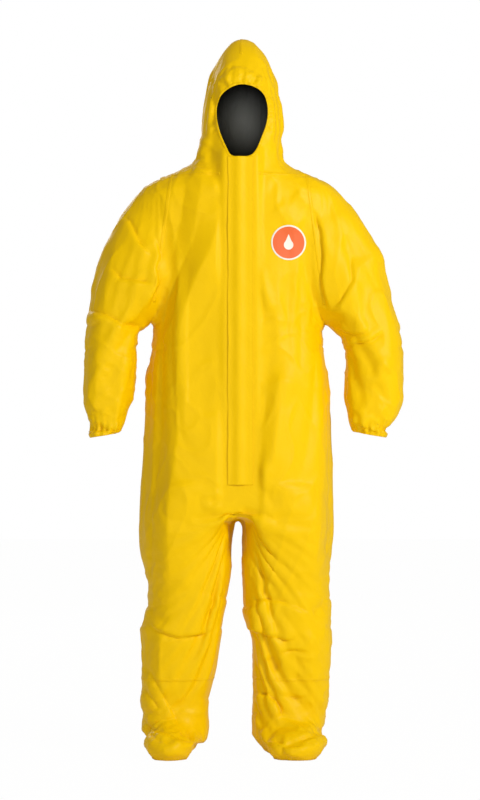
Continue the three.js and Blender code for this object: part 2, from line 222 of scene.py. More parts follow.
def weave_material(name, tint, roughness=0.75, scale=1600.0, depth=0.0004):
    """Woven tape or elastic: fine ribs both ways."""
    material, tree, shader = new_material(name, roughness, Specular_IOR_Level=0.25)
    place = rest_place(tree)
    threads = {"Vector": place, "Scale": scale / 6.3, "Distortion": 0.6}
    ribs, cross = (tree.node("ShaderNodeTexWave", {"bands_direction": way}, out=1, **threads) for way in "ZX")
    cloud = tree.node("ShaderNodeTexNoise", Vector=place, Scale=60.0, Detail=3.0)
    weave = ribs * 0.5 + cross * 0.5
    link(tree, tree.mix(cloud * 0.35, tint, dimmed(tint, 0.72)), shader.inputs["Base Color"])
    link(tree, roughness - 0.15 * weave, shader.inputs["Roughness"])
    roughen(tree, shader, weave, 0.5, depth)
    return material


def moulded_material(name, tint, roughness=0.35):
    """Moulded plastic with a faint mottle."""
    material, tree, shader = new_material(name, roughness, Specular_IOR_Level=0.5)
    place = rest_place(tree)
    cloud = tree.node("ShaderNodeTexNoise", Vector=place, Scale=300.0, Detail=4.0)
    link(tree, tree.mix(cloud * 0.3, tint, dimmed(tint, 0.8)), shader.inputs["Base Color"])
    link(tree, roughness - 0.05 + 0.15 * cloud, shader.inputs["Roughness"])
    roughen(tree, shader, cloud, 0.3, 0.0002)
    return material


def lining_material(name, tint):
    """Dark inner face of the hood, with painted light: lighter at the back of the head, where light would
    fall in through the face opening, and painted shade, darker, at its edges.
    """
    material, tree, shader = new_material(name, 0.8, Specular_IOR_Level=0.1)
    place = rest_place(tree)
    apart = tree.node("ShaderNodeSeparateXYZ", Vector=place)
    across = (apart - 0.008) * 1.25
    up = Value(tree, apart.socket.node.outputs[2]) - 1.645
    deep = Value(tree, apart.socket.node.outputs[1])
    away = (across * across + up * up).math("SQRT")
    # painted light: a lit patch at the back of the hood, fading to painted shade at its edges
    painted_light_core = (1 - away.between(0.0, 0.112)) * deep.between(0.0, 0.06)
    grain = tree.node("ShaderNodeTexNoise", Vector=place, Scale=400.0, Detail=2.0)
    link(tree, tree.mix(painted_light_core, dimmed(tint, 0.1), dimmed(tint, 17.0)), shader.inputs["Base Color"])
    roughen(tree, shader, grain, 0.2, 0.0004)
    link(tree, 0.75 + 0.1 * grain, shader.inputs["Roughness"])
    return material


# ------------------------------------------------------------------ mesh helpers
def new_object(name, verts, faces, *materials, smooth=True):
    mesh = bpy.data.meshes.new(name)
    mesh.from_pydata([tuple(v) for v in verts], [], [tuple(f) for f in faces])
    mesh.update()
    for material in materials:
        mesh.materials.append(material)
    if smooth:
        mesh.shade_smooth()
    thing = bpy.data.objects.new(name, mesh)
    bpy.context.collection.objects.link(thing)
    return thing


def coords(mesh):
    out = np.empty(len(mesh.vertices) * 3)
    mesh.vertices.foreach_get("co", out)
    return out.reshape(-1, 3)


def set_coords(mesh, points):
    mesh.vertices.foreach_set("co", np.asarray(points, float).ravel())
    mesh.update()


def normals(mesh):
    out = np.empty(len(mesh.vertices) * 3)
    mesh.vertices.foreach_get("normal", out)
    return out.reshape(-1, 3)


def face_outwards(mesh):
    """Turns every face of a closed mesh to point out."""
    bm = bmesh.new()
    bm.from_mesh(mesh)
    bmesh.ops.recalc_face_normals(bm, faces=bm.faces[:])
    bm.to_mesh(mesh)
    bm.free()


def keep_rest(thing):
    """Stores each point's place at rest for the materials."""
    mesh = thing.data
    stored = mesh.attributes.get("rest") or mesh.attributes.new("rest", "FLOAT_VECTOR", "POINT")
    stored.data.foreach_set("vector", coords(mesh).ravel())
    return thing


def apply_modifiers(thing):
    bpy.context.view_layer.update()
    evaluated = thing.evaluated_get(bpy.context.evaluated_depsgraph_get())
    mesh = bpy.data.meshes.new_from_object(evaluated)
    thing.modifiers.clear()
    old, thing.data = thing.data, mesh
    bpy.data.meshes.remove(old)
    return thing


def smoothstep(low, high, x):
    """0 at low, 1 at high, smooth between, also where low is the greater."""
    t = np.clip((x - low) / (high - low), 0, 1)
    return t * t * (3 - 2 * t)


def dense(rows, step, blur, axis=0):
    """Rows of sizes, resampled every step along one column and eased by a blur."""
    rows = np.array(rows, float)
    place = rows[:, axis]
    order = np.argsort(place)
    count = max(int(np.ptp(place) / step), 2)
    at = np.linspace(place.min(), place.max(), count + 1)
    out = np.stack([np.interp(at, place[order], rows[order, c]) for c in range(rows.shape[1])], 1)
    reach = max(int(blur / step), 1)
    kernel = np.exp(-0.5 * (np.arange(-2 * reach, 2 * reach + 1) / reach) ** 2)
    kernel /= kernel.sum()
    for c in range(rows.shape[1]):
        if c != axis:
            padded = np.pad(out[:, c], 2 * reach, mode="reflect", reflect_type="odd")
            out[:, c] = np.convolve(padded, kernel, mode="valid")
    return out


def ring_faces(rows, wide, closed=False):
    """Faces between rings of points, and from the last ring to the first where closed."""
    faces = []
    for i in range(rows if closed else rows - 1):
        here, after = i * wide, (i + 1) % rows * wide
        for k, j in enumerate([*range(1, wide), 0]):
            faces.append((here + k, here + j, after + j, after + k))
    return faces


def loft(centres, across, depth, power, around=48):
    """A closed tube through superelliptic rings."""
    angle = np.arange(around) * 2 * math.pi / around
    c, s = np.cos(angle), np.sin(angle)
    power = np.broadcast_to(power, len(centres))[:, None]
    bow_c = np.sign(c) * np.abs(c) ** (2 / power)
    bow_s = np.sign(s) * np.abs(s) ** (2 / power)
    points = centres[:, None] + across[:, None] * bow_c[..., None] + depth[:, None] * bow_s[..., None]
    rows = len(centres)
    verts = np.concatenate([points.reshape(-1, 3), centres[:1], centres[-1:]])
    faces = ring_faces(rows, around)
    first, last = rows * around, rows * around + 1
    faces += [(first, (j + 1) % around, j) for j in range(around)]
    top = (rows - 1) * around
    faces += [(last, top + j, top + (j + 1) % around) for j in range(around)]
    return verts, faces


X, Y, Z = np.eye(3)
MM = 0.001
ARMHOLE = (0.222, 1.150)  # x and z of the underarm, where the armhole starts
SHOULDER = (0.178, 1.485)  # x and z of the armhole's top

FRONT_LOW, FRONT_HIGH = (-0.124, 0.640), (-0.102, 1.530)
LEAN = (FRONT_HIGH[0] - FRONT_LOW[0]) / (FRONT_HIGH[1] - FRONT_LOW[1])


def front(z):
    """The y of the front line that the zipper lies on."""
    return FRONT_LOW[0] + (z - FRONT_LOW[1]) * LEAN


# z, centre x, half width, back y of the trunk where its outline turns
TRUNK = [
    (1.540, 0, 0.104, 0.096), (1.515, 0, 0.150, 0.101), (1.480, 0, 0.248, 0.114), (1.460, 0, 0.272, 0.125),
    (1.440, 0, 0.278, 0.133), (1.415, 0, 0.272, 0.141), (1.340, 0, 0.224, 0.153), (1.260, 0, 0.218, 0.158),
    (1.150, -0.003, 0.213, 0.158), (1.090, -0.005, 0.216, 0.158), (1.020, -0.007, 0.231, 0.158),
    (0.900, -0.003, 0.244, 0.166), (0.760, -0.005, 0.252, 0.172), (0.650, -0.010, 0.256, 0.166),
    (0.620, -0.010, 0.246, 0.156),
]
# z, centre x, half width, front y, back y of the hood
HOOD = [
    (1.490, 0, 0.138, -0.103, 0.100), (1.530, 0, 0.123, -0.103, 0.101),
    (1.600, 0.005, 0.095, -0.103, 0.126), (1.630, 0.009, 0.095, -0.102, 0.137),
    (1.690, 0.009, 0.108, -0.097, 0.146), (1.715, 0.009, 0.107, -0.090, 0.147),
    (1.765, 0.009, 0.091, -0.070, 0.134), (1.805, 0.011, 0.067, -0.043, 0.114),
    (1.835, 0.011, 0.047, -0.018, 0.094), (1.855, 0.009, 0.028, 0.005, 0.072),
    (1.862, 0.008, 0.016, 0.018, 0.058),
]
# x, y, z, half width, half depth down each sleeve, from inside the trunk to the cuff
SLEEVES = {
    "right": [
        (0.100, 0.024, 1.395, 0.116, 0.100), (0.190, 0.022, 1.340, 0.142, 0.104),
        (0.258, 0.015, 1.260, 0.114, 0.098), (0.305, 0.008, 1.185, 0.088, 0.086),
        (0.331, 0.002, 1.120, 0.066, 0.076), (0.336, -0.008, 1.020, 0.072, 0.072),
        (0.350, -0.024, 0.920, 0.055, 0.060), (0.352, -0.039, 0.850, 0.041, 0.043),
        (0.347, -0.042, 0.825, 0.032, 0.035),
    ],
    "left": [
        (0.100, 0.024, 1.395, 0.116, 0.100), (0.190, 0.022, 1.340, 0.142, 0.104),
        (0.262, 0.015, 1.260, 0.116, 0.098), (0.306, 0.008, 1.180, 0.091, 0.088),
        (0.341, 0.002, 1.125, 0.075, 0.080), (0.356, -0.005, 1.050, 0.075, 0.078),
        (0.355, -0.022, 0.930, 0.072, 0.066), (0.347, -0.032, 0.880, 0.060, 0.056),
        (0.344, -0.038, 0.850, 0.045, 0.046), (0.340, -0.042, 0.820, 0.034, 0.036),
    ],
}
# z, centre x, half width of each leg
LEGS = {
    "right": [
        (0.720, 0.122, 0.098), (0.690, 0.130, 0.120), (0.650, 0.136, 0.127), (0.560, 0.141, 0.122),
        (0.460, 0.133, 0.110), (0.380, 0.139, 0.101), (0.355, 0.156, 0.105), (0.300, 0.160, 0.100),
        (0.200, 0.174, 0.086), (0.150, 0.180, 0.079), (0.080, 0.174, 0.083), (0.050, 0.171, 0.077),
        (0.010, 0.171, 0.054),
    ],
    "left": [
        (0.720, 0.116, 0.098), (0.690, 0.120, 0.118), (0.650, 0.123, 0.124), (0.600, 0.127, 0.119),
        (0.460, 0.124, 0.114), (0.360, 0.129, 0.116), (0.330, 0.137, 0.109), (0.300, 0.140, 0.105),
        (0.150, 0.138, 0.102), (0.050, 0.130, 0.096), (0.010, 0.136, 0.066),
    ],
}
# z, front y, back y of both legs
LEG_DEPTH = [
    (0.700, -0.122, 0.166), (0.640, -0.122, 0.164), (0.560, -0.117, 0.150), (0.460, -0.111, 0.135),
    (0.400, -0.108, 0.128), (0.340, -0.102, 0.122), (0.260, -0.092, 0.114), (0.190, -0.082, 0.110),
    (0.130, -0.076, 0.106), (0.080, -0.074, 0.100), (0.045, -0.070, 0.094), (0.010, -0.060, 0.080),
]
# y, half width, lowest z, highest z of each foot
FOOT = [
    (0.096, 0.020, 0.020, 0.050), (0.085, 0.044, 0.004, 0.082), (0.040, 0.064, -0.004, 0.118),
    (-0.020, 0.072, -0.006, 0.122), (-0.080, 0.074, -0.006, 0.104), (-0.128, 0.064, -0.004, 0.080),
    (-0.156, 0.042, 0.004, 0.058), (-0.172, 0.016, 0.018, 0.038),
]


def foot_middle(name):
    """The x of a foot's centre line."""
    return {"right": -0.177, "left": 0.144}[name]


def suit_volumes(inset=0.0):
    """Every closed tube that the suit's outline is made of, moved in by an inset."""
    made = []
    rows = dense([(z, x, h, front(z), b) for z, x, h, b in TRUNK], 0.01, 0.018)
    made.append(level_loft(rows, 2.5, inset))
    made.append(level_loft(dense(HOOD, 0.006, 0.008), 2.2, inset))
    for name, side in SIDES:
        path = np.array(SLEEVES[name])
        run = np.concatenate([[0], np.cumsum(np.linalg.norm(np.diff(path[:, :3], axis=0), axis=1))])
        rows = dense(np.column_stack([run, path]), 0.01, 0.016)[:, 1:]
        centres = rows[:, :3] * (side, 1, 1)
        flow = np.gradient(centres, axis=0) * (1, 0, 1)
        flow /= np.linalg.norm(flow, axis=1)[:, None]
        across = np.cross(Y, flow)
        made.append(loft(centres, across * (rows[:, 3:4] - inset), Y * (rows[:, 4:5] - inset), 2.2))
        depth = np.array(LEG_DEPTH)[::-1]
        rows = []
        for z, x, half in LEGS[name]:
            low, high = (np.interp(z, depth[:, 0], depth[:, c]) for c in (1, 2))
            rows.append((z, side * x, half, low, high))
        made.append(level_loft(dense(rows, 0.008, 0.010), 2.3, inset))
        rows = dense(FOOT, 0.008, 0.012) * (1, 1.08 if side > 0 else 0.88, 1, 1)
        middles = (rows[:, 2] + rows[:, 3]) / 2
        centres = np.column_stack([np.full(len(rows), foot_middle(name)), rows[:, 0], middles])
        half = np.maximum(rows[:, 1:2] - inset, 0.002)
        high = np.maximum((rows[:, 3:4] - rows[:, 2:3]) / 2 - inset, 0.002)
        made.append(loft(centres, X * half, Z * high, 2.4))
    return made


def level_loft(rows, power, inset):
    centres = np.column_stack([rows[:, 1], (rows[:, 3] + rows[:, 4]) / 2, rows[:, 0]])
    half = np.maximum(rows[:, 2:3] - inset, 0.003)
    deep = np.maximum((rows[:, 4:5] - rows[:, 3:4]) / 2 - inset, 0.003)
    return loft(centres, X * half, Y * deep, power)


def joined_volume(name, voxel, inset=0.0):
    """The tubes joined into one smooth closed skin."""
    verts, faces, base = [], [], 0
    for v, f in suit_volumes(inset):
        verts.append(v)
        faces += [tuple(i + base for i in face) for face in f]
        base += len(v)
    thing = new_object(name, np.concatenate(verts), faces)
    modifier = thing.modifiers.new("Join", "REMESH")
    modifier.mode, modifier.voxel_size, modifier.use_smooth_shade = "VOXEL", voxel, True
    apply_modifiers(thing)
    modifier = thing.modifiers.new("Ease", "SMOOTH")
    modifier.factor, modifier.iterations = 0.5, 3
    return apply_modifiers(thing)


def drape(thing, wearer, frames, growth, hold):
    """Lets the cloth settle on the wearer for some frames, held by a weight for each point."""
    start = coords(thing.data)
    group = thing.vertex_groups.new(name="hold")
    for level in np.unique(np.round(hold, 2)):
        group.add([int(i) for i in np.flatnonzero(np.round(hold, 2) == level)], float(level), "REPLACE")
    wearer.modifiers.new("Solid", "COLLISION")
    wearer.collision.thickness_outer = 0.004
    wearer.collision.cloth_friction = 20
    modifier = thing.modifiers.new("Drape", "CLOTH")
    cloth = modifier.settings
    cloth.quality, cloth.mass = 4, 0.25
    cloth.tension_stiffness = cloth.compression_stiffness = 25
    cloth.shear_stiffness, cloth.bending_stiffness = 12, 1.2
    cloth.tension_damping = cloth.compression_damping = 8
    cloth.shrink_min = -growth
    cloth.vertex_group_mass, cloth.pin_stiffness = "hold", 1.0
    cloth.use_pressure, cloth.uniform_pressure_force = True, 0.6
    cloth.air_damping = 3
    modifier.collision_settings.use_self_collision = False
    modifier.collision_settings.distance_min = 0.004
    modifier.point_cache.frame_end = frames
    scene = bpy.context.scene
    for number in range(1, frames + 1):
        scene.frame_set(number)
    apply_modifiers(thing)
    scene.frame_set(1)
    moved = coords(thing.data) - start
    far = np.linalg.norm(moved, axis=1)
    moved *= (np.minimum(far, CLOTH_REACH) / np.maximum(far, 1e-9))[:, None]
    set_coords(thing.data, start + moved)
    bpy.data.objects.remove(wearer, do_unlink=True)
    return thing


# ------------------------------------------------------------------ folds
# Each fold is its kind, its height and width in mm, and its route in mm as (x, z). A ridge stands out, a
# valley dips, a step lifts the cloth on the left of its route over the cloth on the right, and at an edge the
# cloth turns away from a sharp line on the right of its route.
BROAD_FOLDS = [
    ("edge", 15, 48, [(-44, 1440), (-50, 1392), (-74, 1303), (-112, 1226), (-138, 1162), (-152, 1098),
                      (-155, 960), (-156, 830), (-166, 735), (-182, 612), (-180, 500), (-178, 380)]),
    ("edge", 8, 40, [(-96, 1500), (-102, 1440), (-112, 1370), (-128, 1300), (-150, 1240)]),
    ("edge", 8, 34, [(-300, 1370), (-320, 1300), (-338, 1226), (-348, 1130), (-362, 1034), (-370, 900)]),
    ("edge", 8, 40, [(50, 690), (54, 663), (61, 581), (84, 468), (108, 410)]),
    ("edge", 7, 30, [(-14, 1810), (-30, 1770), (-52, 1735), (-72, 1660), (-74, 1590)]),
    ("edge", 9, 40, [(178, 430), (190, 520), (200, 700), (202, 868), (196, 1010), (190, 1110)]),
    ("edge", 6, 34, [(-196, 330), (-200, 290), (-204, 230), (-206, 150)]),
    ("edge", 7, 34, [(176, 330), (182, 260), (184, 190), (178, 120)]),
    ("edge", 7, 34, [(390, 930), (392, 1010), (386, 1090), (366, 1200), (330, 1310)]),
    ("valley", 5, 34, [(-60, 1250), (-85, 1130), (-90, 950), (-84, 800)]),
    ("ridge", 6, 26, [(60, 1250), (92, 1150), (110, 1040), (114, 900)]),
    ("ridge", 5, 40, [(70, 1010), (96, 880), (104, 760), (96, 660)]),
    ("edge", 7, 30, [(100, 1010), (98, 900), (84, 780), (62, 720)]),
]
FRONT_FOLDS = [
    # right leg
    ("step", 9, 40, [(-236, 352), (-212, 335), (-180, 322), (-151, 315), (-100, 323), (-62, 333)]),
    ("valley", 5, 16, [(-233, 372), (-205, 362), (-184, 346)]),
    ("step", 7, 30, [(-156, 79), (-178, 118), (-202, 161), (-220, 195), (-238, 232)]),
    ("step", 5, 22, [(-196, 112), (-207, 125), (-226, 150), (-246, 180)]),
    ("valley", 3, 14, [(-182, 136), (-140, 132), (-95, 130)]),
    ("step", 7, 25, [(-131, 40), (-150, 48), (-187, 62), (-228, 69), (-240, 86), (-262, 104)]),
    ("valley", 4, 8, [(-125, 74), (-123, 44)]),
    # left leg
    ("step", 6, 30, [(90, 428), (54, 468), (40, 490), (13, 540)]),
    ("step", 7, 35, [(190, 369), (160, 378), (136, 387), (110, 398), (84, 402), (60, 402), (20, 398)]),
    ("valley", 7, 14, [(190, 369), (208, 382), (228, 395)]),
    ("ridge", 6, 20, [(36, 396), (42, 365), (49, 340), (64, 325)]),
    ("step", 9, 30, [(12, 342), (28, 334), (50, 328), (64, 325), (90, 318), (126, 310), (148, 312)]),
    ("step", 6, 25, [(98, 268), (116, 280), (136, 284), (160, 280), (184, 274)]),
    ("valley", 5, 20, [(72, 262), (84, 236), (104, 228)]),
    ("step", 4, 25, [(92, 174), (120, 165), (151, 159), (176, 160)]),
    ("step", 9, 30, [(102, 100), (100, 125), (90, 142), (74, 156), (58, 158), (38, 165)]),
    ("step", 8, 25, [(46, 68), (84, 49), (120, 46), (156, 59), (197, 72), (226, 75)]),
    ("valley", 5, 7, [(104, 44), (110, 20), (130, 4)]),
    # crotch
    ("valley", 6, 40, [(-5, 740), (30, 700), (48, 648), (60, 620)]),
    ("ridge", 7, 30, [(66, 765), (56, 700), (52, 648), (75, 638), (100, 637)]),
    ("valley", 5, 12, [(-14, 690), (-12, 655), (-8, 625), (0, 600)]),
    ("valley", 3, 12, [(-79, 660), (-50, 664), (-23, 668)]),
    # right arm
    ("step", 10, 26, [(-236, 1150), (-225, 1188), (-210, 1220), (-216, 1258), (-205, 1290), (-221, 1345)]),
    ("step", 8, 28, [(-221, 1288), (-240, 1300), (-260, 1322), (-285, 1375), (-305, 1392)]),
    ("step", 8, 30, [(-221, 1215), (-266, 1220), (-305, 1226), (-336, 1258)]),
    ("step", 10, 30, [(-250, 1106), (-300, 1104), (-318, 1118), (-343, 1132), (-392, 1146)]),
    ("step", 6, 22, [(-388, 1110), (-360, 1122), (-343, 1132)]),
    ("ridge", 5, 22, [(-330, 1040), (-300, 1015), (-262, 1010)]),
    ("valley", 4, 20, [(-345, 990), (-330, 960), (-320, 930)]),
    # left arm
    ("step", 9, 26, [(190, 1418), (214, 1354), (220, 1290), (214, 1226), (222, 1188), (236, 1140)]),
    ("step", 8, 30, [(290, 1290), (297, 1226), (265, 1169), (233, 1143)]),
    ("ridge", 7, 26, [(246, 1431), (285, 1385), (323, 1335), (380, 1252)]),
    ("valley", 6, 30, [(262, 1340), (300, 1290), (340, 1240), (360, 1180)]),
    ("step", 8, 28, [(250, 1108), (278, 1096), (297, 1092), (335, 1100)]),
    ("step", 8, 28, [(274, 1064), (310, 1070), (335, 1074), (370, 1100)]),
    ("ridge", 6, 16, [(342, 952), (372, 1015), (385, 985)]),
    ("valley", 5, 20, [(300, 935), (345, 945), (380, 900)]),
    ("step", 8, 18, [(288, 868), (305, 860), (318, 855), (330, 850)]),
    # chest and neck
    ("ridge", 4, 16, [(-125, 1508), (-90, 1478), (-49, 1457)]),
    ("valley", 4, 22, [(-165, 1373), (-195, 1322), (-218, 1290)]),
    ("ridge", 6, 16, [(45, 1258), (60, 1200), (85, 1140)]),
    ("valley", 5, 30, [(36, 1240), (52, 1170), (50, 1100)]),
    ("valley", 4, 26, [(80, 1482), (110, 1465), (150, 1440)]),
    ("ridge", 4, 22, [(95, 1420), (130, 1385), (160, 1360)]),
    ("valley", 6, 14, [(-81, 1585), (-74, 1533), (-66, 1482)]),
    ("step", 5, 14, [(-70, 1508), (-100, 1512), (-118, 1520)]),
    # hood
    ("valley", 6, 12, [(-75, 1764), (-66, 1700), (-62, 1636)]),
    ("step", 6, 18, [(-10, 1778), (-22, 1758), (-40, 1738)]),
    ("step", 5, 14, [(-24, 1774), (-40, 1752), (-52, 1738)]),
    ("ridge", 5, 7, [(2, 1776), (3, 1744)]),
    ("ridge", 4, 7, [(14, 1772), (17, 1744)]),
    ("ridge", 4, 8, [(28, 1764), (36, 1740)]),
    ("ridge", 4, 8, [(48, 1752), (54, 1730)]),
    ("edge", 5, 22, [(84, 1700), (86, 1640), (88, 1590)]),
    ("valley", 5, 10, [(-62, 1700), (-70, 1660), (-72, 1620)]),
    ("ridge", 4, 12, [(-84, 1600), (-90, 1570), (-100, 1540)]),
]
BACK_FOLDS = [
    ("ridge", 8, 34, [(-60, 1440), (-110, 1330), (-150, 1200), (-160, 1080)]),
    ("ridge", 8, 34, [(70, 1430), (115, 1320), (158, 1200), (165, 1090)]),
    ("valley", 8, 30, [(-180, 1420), (-190, 1330), (-205, 1230), (-222, 1160)]),
    ("valley", 8, 30, [(180, 1420), (192, 1330), (206, 1230), (220, 1160)]),
    ("valley", 5, 40, [(0, 1420), (12, 1300), (-6, 1180)]),
    ("step", 6, 34, [(150, 1030), (60, 1016), (-40, 1022), (-150, 1036)]),
    ("step", 5, 30, [(120, 965), (40, 955), (-60, 960), (-130, 972)]),
    ("ridge", 9, 40, [(-150, 940), (-165, 820), (-158, 700), (-150, 560)]),
    ("ridge", 9, 40, [(150, 940), (168, 820), (160, 700), (146, 560)]),
    ("valley", 9, 22, [(2, 800), (-2, 720), (0, 640)]),
    ("step", 6, 30, [(-70, 690), (-110, 660), (-180, 650)]),
    ("step", 6, 30, [(180, 660), (110, 668), (70, 700)]),
    ("step", 8, 30, [(-60, 440), (-120, 420), (-190, 430), (-230, 450)]),
    ("step", 7, 30, [(-70, 380), (-130, 368), (-220, 390)]),
    ("step", 8, 30, [(230, 440), (170, 420), (110, 425), (40, 445)]),
    ("step", 7, 30, [(235, 385), (160, 370), (60, 388)]),
    ("step", 8, 26, [(-110, 160), (-170, 148), (-240, 165)]),
    ("step", 8, 26, [(220, 165), (150, 148), (60, 160)]),
    ("step", 7, 26, [(-262, 1120), (-310, 1100), (-380, 1120)]),
    ("step", 7, 26, [(385, 1110), (320, 1092), (262, 1112)]),
    ("step", 6, 24, [(-280, 1050), (-330, 1030), (-390, 1045)]),
    ("step", 6, 24, [(400, 1030), (345, 1016), (290, 1036)]),
    ("valley", 4, 18, [(-340, 940), (-350, 880)]),
    ("valley", 4, 18, [(350, 940), (342, 880)]),
    ("step", 5, 26, [(70, 1560), (0, 1546), (-70, 1560)]),
    ("valley", 5, 20, [(10, 1760), (8, 1690), (4, 1620)]),
]
# The same, seen from the wearer's left and right, with routes as (y, z).
LEFT_FOLDS = [
    ("step", 4, 28, [(-60, 1120), (0, 1100), (70, 1130)]),
    ("step", 3, 26, [(-70, 1050), (-10, 1066), (60, 1052)]),
    ("ridge", 6, 22, [(-30, 1330), (0, 1250), (10, 1170)]),
    ("ridge", 5, 20, [(40, 1010), (10, 950), (-30, 900)]),
    ("valley", 5, 26, [(-40, 700), (-20, 600), (-30, 500)]),
    ("step", 4, 30, [(110, 420), (40, 398), (-50, 404), (-110, 430)]),
    ("step", 3, 28, [(100, 340), (30, 322), (-60, 330)]),
    ("step", 3, 26, [(90, 158), (20, 140), (-70, 150)]),
    ("valley", 5, 20, [(80, 1600), (30, 1580), (-20, 1600)]),
    ("ridge", 4, 20, [(100, 1640), (60, 1720), (20, 1780)]),
]
RIGHT_FOLDS = [
    ("step", 4, 28, [(70, 1140), (0, 1116), (-60, 1132)]),
    ("step", 3, 26, [(60, 1062), (-10, 1050), (-70, 1064)]),
    ("ridge", 6, 22, [(-20, 1340), (10, 1260), (4, 1180)]),
    ("ridge", 5, 20, [(36, 1010), (4, 950), (-30, 900)]),
    ("valley", 5, 26, [(-30, 720), (-10, 620), (-24, 510)]),
    ("step", 4, 30, [(-110, 400), (-50, 376), (40, 382), (110, 410)]),
    ("step", 3, 28, [(-60, 338), (20, 326), (100, 344)]),
    ("step", 3, 26, [(-70, 110), (10, 100), (90, 130)]),
    ("valley", 5, 20, [(-10, 1590), (40, 1574), (90, 1596)]),
    ("ridge", 4, 20, [(96, 1650), (56, 1730), (24, 1786)]),
]


# Each list of folds, with the axis that it is seen along and the side of the suit that it is on.
SEEN_FROM = (
    (BROAD_FOLDS, 1, -1), (FRONT_FOLDS, 1, -1), (BACK_FOLDS, 1, 1), (LEFT_FOLDS, 0, 1), (RIGHT_FOLDS, 0, -1),
)


def route_distance(place, route):
    """Signed distance from a route, how far along it a point lies, from 0 to 1, and the way to its left."""
    route = np.array(route, float) * MM
    best = np.full(len(place), np.inf)
    signed, along = np.zeros(len(place)), np.zeros(len(place))
    left = np.zeros((len(place), 2))
    steps = np.linalg.norm(np.diff(route, axis=0), axis=1)
    done = np.concatenate([[0], np.cumsum(steps)])
    for a, b, start, step in zip(route[:-1], route[1:], done, steps):
        run = (b - a) / step
        t = np.clip((place - a) @ run, 0, step)
        off = place - (a + t[:, None] * run)
        far = np.linalg.norm(off, axis=1)
        near = far < best
        best[near] = far[near]
        signed[near] = (far * np.sign(run[0] * off[:, 1] - run[1] * off[:, 0]))[near]
        along[near] = ((start + t) / done[-1])[near]
        left[near] = (-run[1], run[0])
    return signed, along, left


def fold(points, facing, folds, axis, side, keep):
    """Moves points by folds seen along an axis from one side. keep is 0 where the cloth stays flat."""
    plane = [0, 2] if axis == 1 else [1, 2]
    out = points.copy()
    turn = side if axis == 0 else -side  # on the far sides, left and right change places
    for kind, height, width, route in folds:
        corner = np.array(route) * MM
        reach = (5 if kind == "edge" else 3.2) * width * MM
        flat = points[:, plane]
        near = np.all((flat > corner.min(0) - reach) & (flat < corner.max(0) + reach), axis=1)
        near = np.flatnonzero(near & (side * facing[:, axis] > -0.2))
        far, along, left = route_distance(flat[near], route)
        seen = smoothstep(-0.2, 0.3, side * facing[near, axis]) * keep[near]
        seen *= smoothstep(-0.02, 0.2, along) * (1 - smoothstep(0.8, 1.02, along))
        width, height = width * MM, height * MM
        if kind == "step":
            lifted = far * turn if axis == 0 else far
            shape = 0.5 + 0.5 * np.tanh(lifted / 0.005)
            shape = np.where(lifted > 0, shape * np.exp(-lifted / width), shape)
            shape -= 0.45 * np.exp(-(((lifted + 0.004) / 0.006) ** 2))
            over = 0.5 * height * np.exp(-(((lifted - 0.003) / 0.008) ** 2)) * seen
            sign = turn if axis == 0 else 1
            out[np.ix_(near, plane)] -= left * (sign * over)[:, None]
        elif kind == "edge":
            away = np.sqrt(far**2 + 9e-6)
            steep = np.where(away < width, 1 - 1.6 * away / width, -0.6 * np.exp(-(away - width) / width))
            shape = np.where(far > 0, np.exp(-away / (2 * width)), steep)
        else:
            shape = np.exp(-((far / width) ** 2)) * (1 if kind == "ridge" else -1)
        out[near] += facing[near] * (height * shape * seen)[:, None]
    return out


def crumple(points, facing, keep):
    """Small creases all over, as stiff coated cloth has them."""
    out = np.empty(len(points))
    for i, (x, y, z) in enumerate(points):
        bend = noise.noise((3 * x, 3 * y, 3 * z + 9))
        wide = noise.noise((7 * x + bend, 7 * y, 4.5 * z))
        crease = 1 - abs(noise.noise((15 * x + 2 * bend, 15 * y, 10 * z + 3 * bend))) * 3.2
        out[i] = 0.0028 * wide + 0.0021 * max(crease, 0) ** 2
    return points + facing * (out * keep)[:, None]


def gather(points, facing):
    """Radial puckers where elastic draws the cloth in: round the face, at the wrists, across the back."""
    far, along, _ = route_distance(points[:, [0, 2]], [(1000 * x, 1000 * z) for x, z in FACE + FACE[:1]])
    far = np.abs(far)
    front_of_hood = (points[:, 2] > 1.5) & (points[:, 1] < 0.03)
    wave = np.sin(along * 150 + 2.5 * np.sin(along * 31)) + 0.5 * np.sin(along * 263)
    top = 0.45 + 0.55 * smoothstep(1.60, 1.70, points[:, 2])
    lift = 0.0015 * wave * top * np.exp(-far / 0.016) * front_of_hood
    for side in (1, -1):
        centre = np.array([side * 0.347, -0.038])
        off = points[:, :2] - centre
        at_cuff = (np.hypot(*off.T) < 0.08) & (points[:, 2] > 0.76)
        angle = np.arctan2(off[:, 1], off[:, 0])
        wave = np.sin(14 * angle + side) + 0.6 * np.sin(9 * angle + 2)
        lift += 0.0022 * wave * np.exp(-np.maximum(points[:, 2] - 0.845, 0) / 0.022) * at_cuff
    at_waist = (points[:, 1] > 0.09) & (np.abs(points[:, 0]) < 0.22)
    wave = np.sin(points[:, 0] * 190 + 2 * np.sin(points[:, 0] * 41)) + 0.5 * np.sin(points[:, 0] * 331)
    band = np.exp(-(((points[:, 2] - 0.998) / 0.03) ** 2))
    lift += (0.0026 * wave - 0.007) * band * smoothstep(0.09, 0.13, points[:, 1]) * at_waist
    return points + facing * lift[:, None]


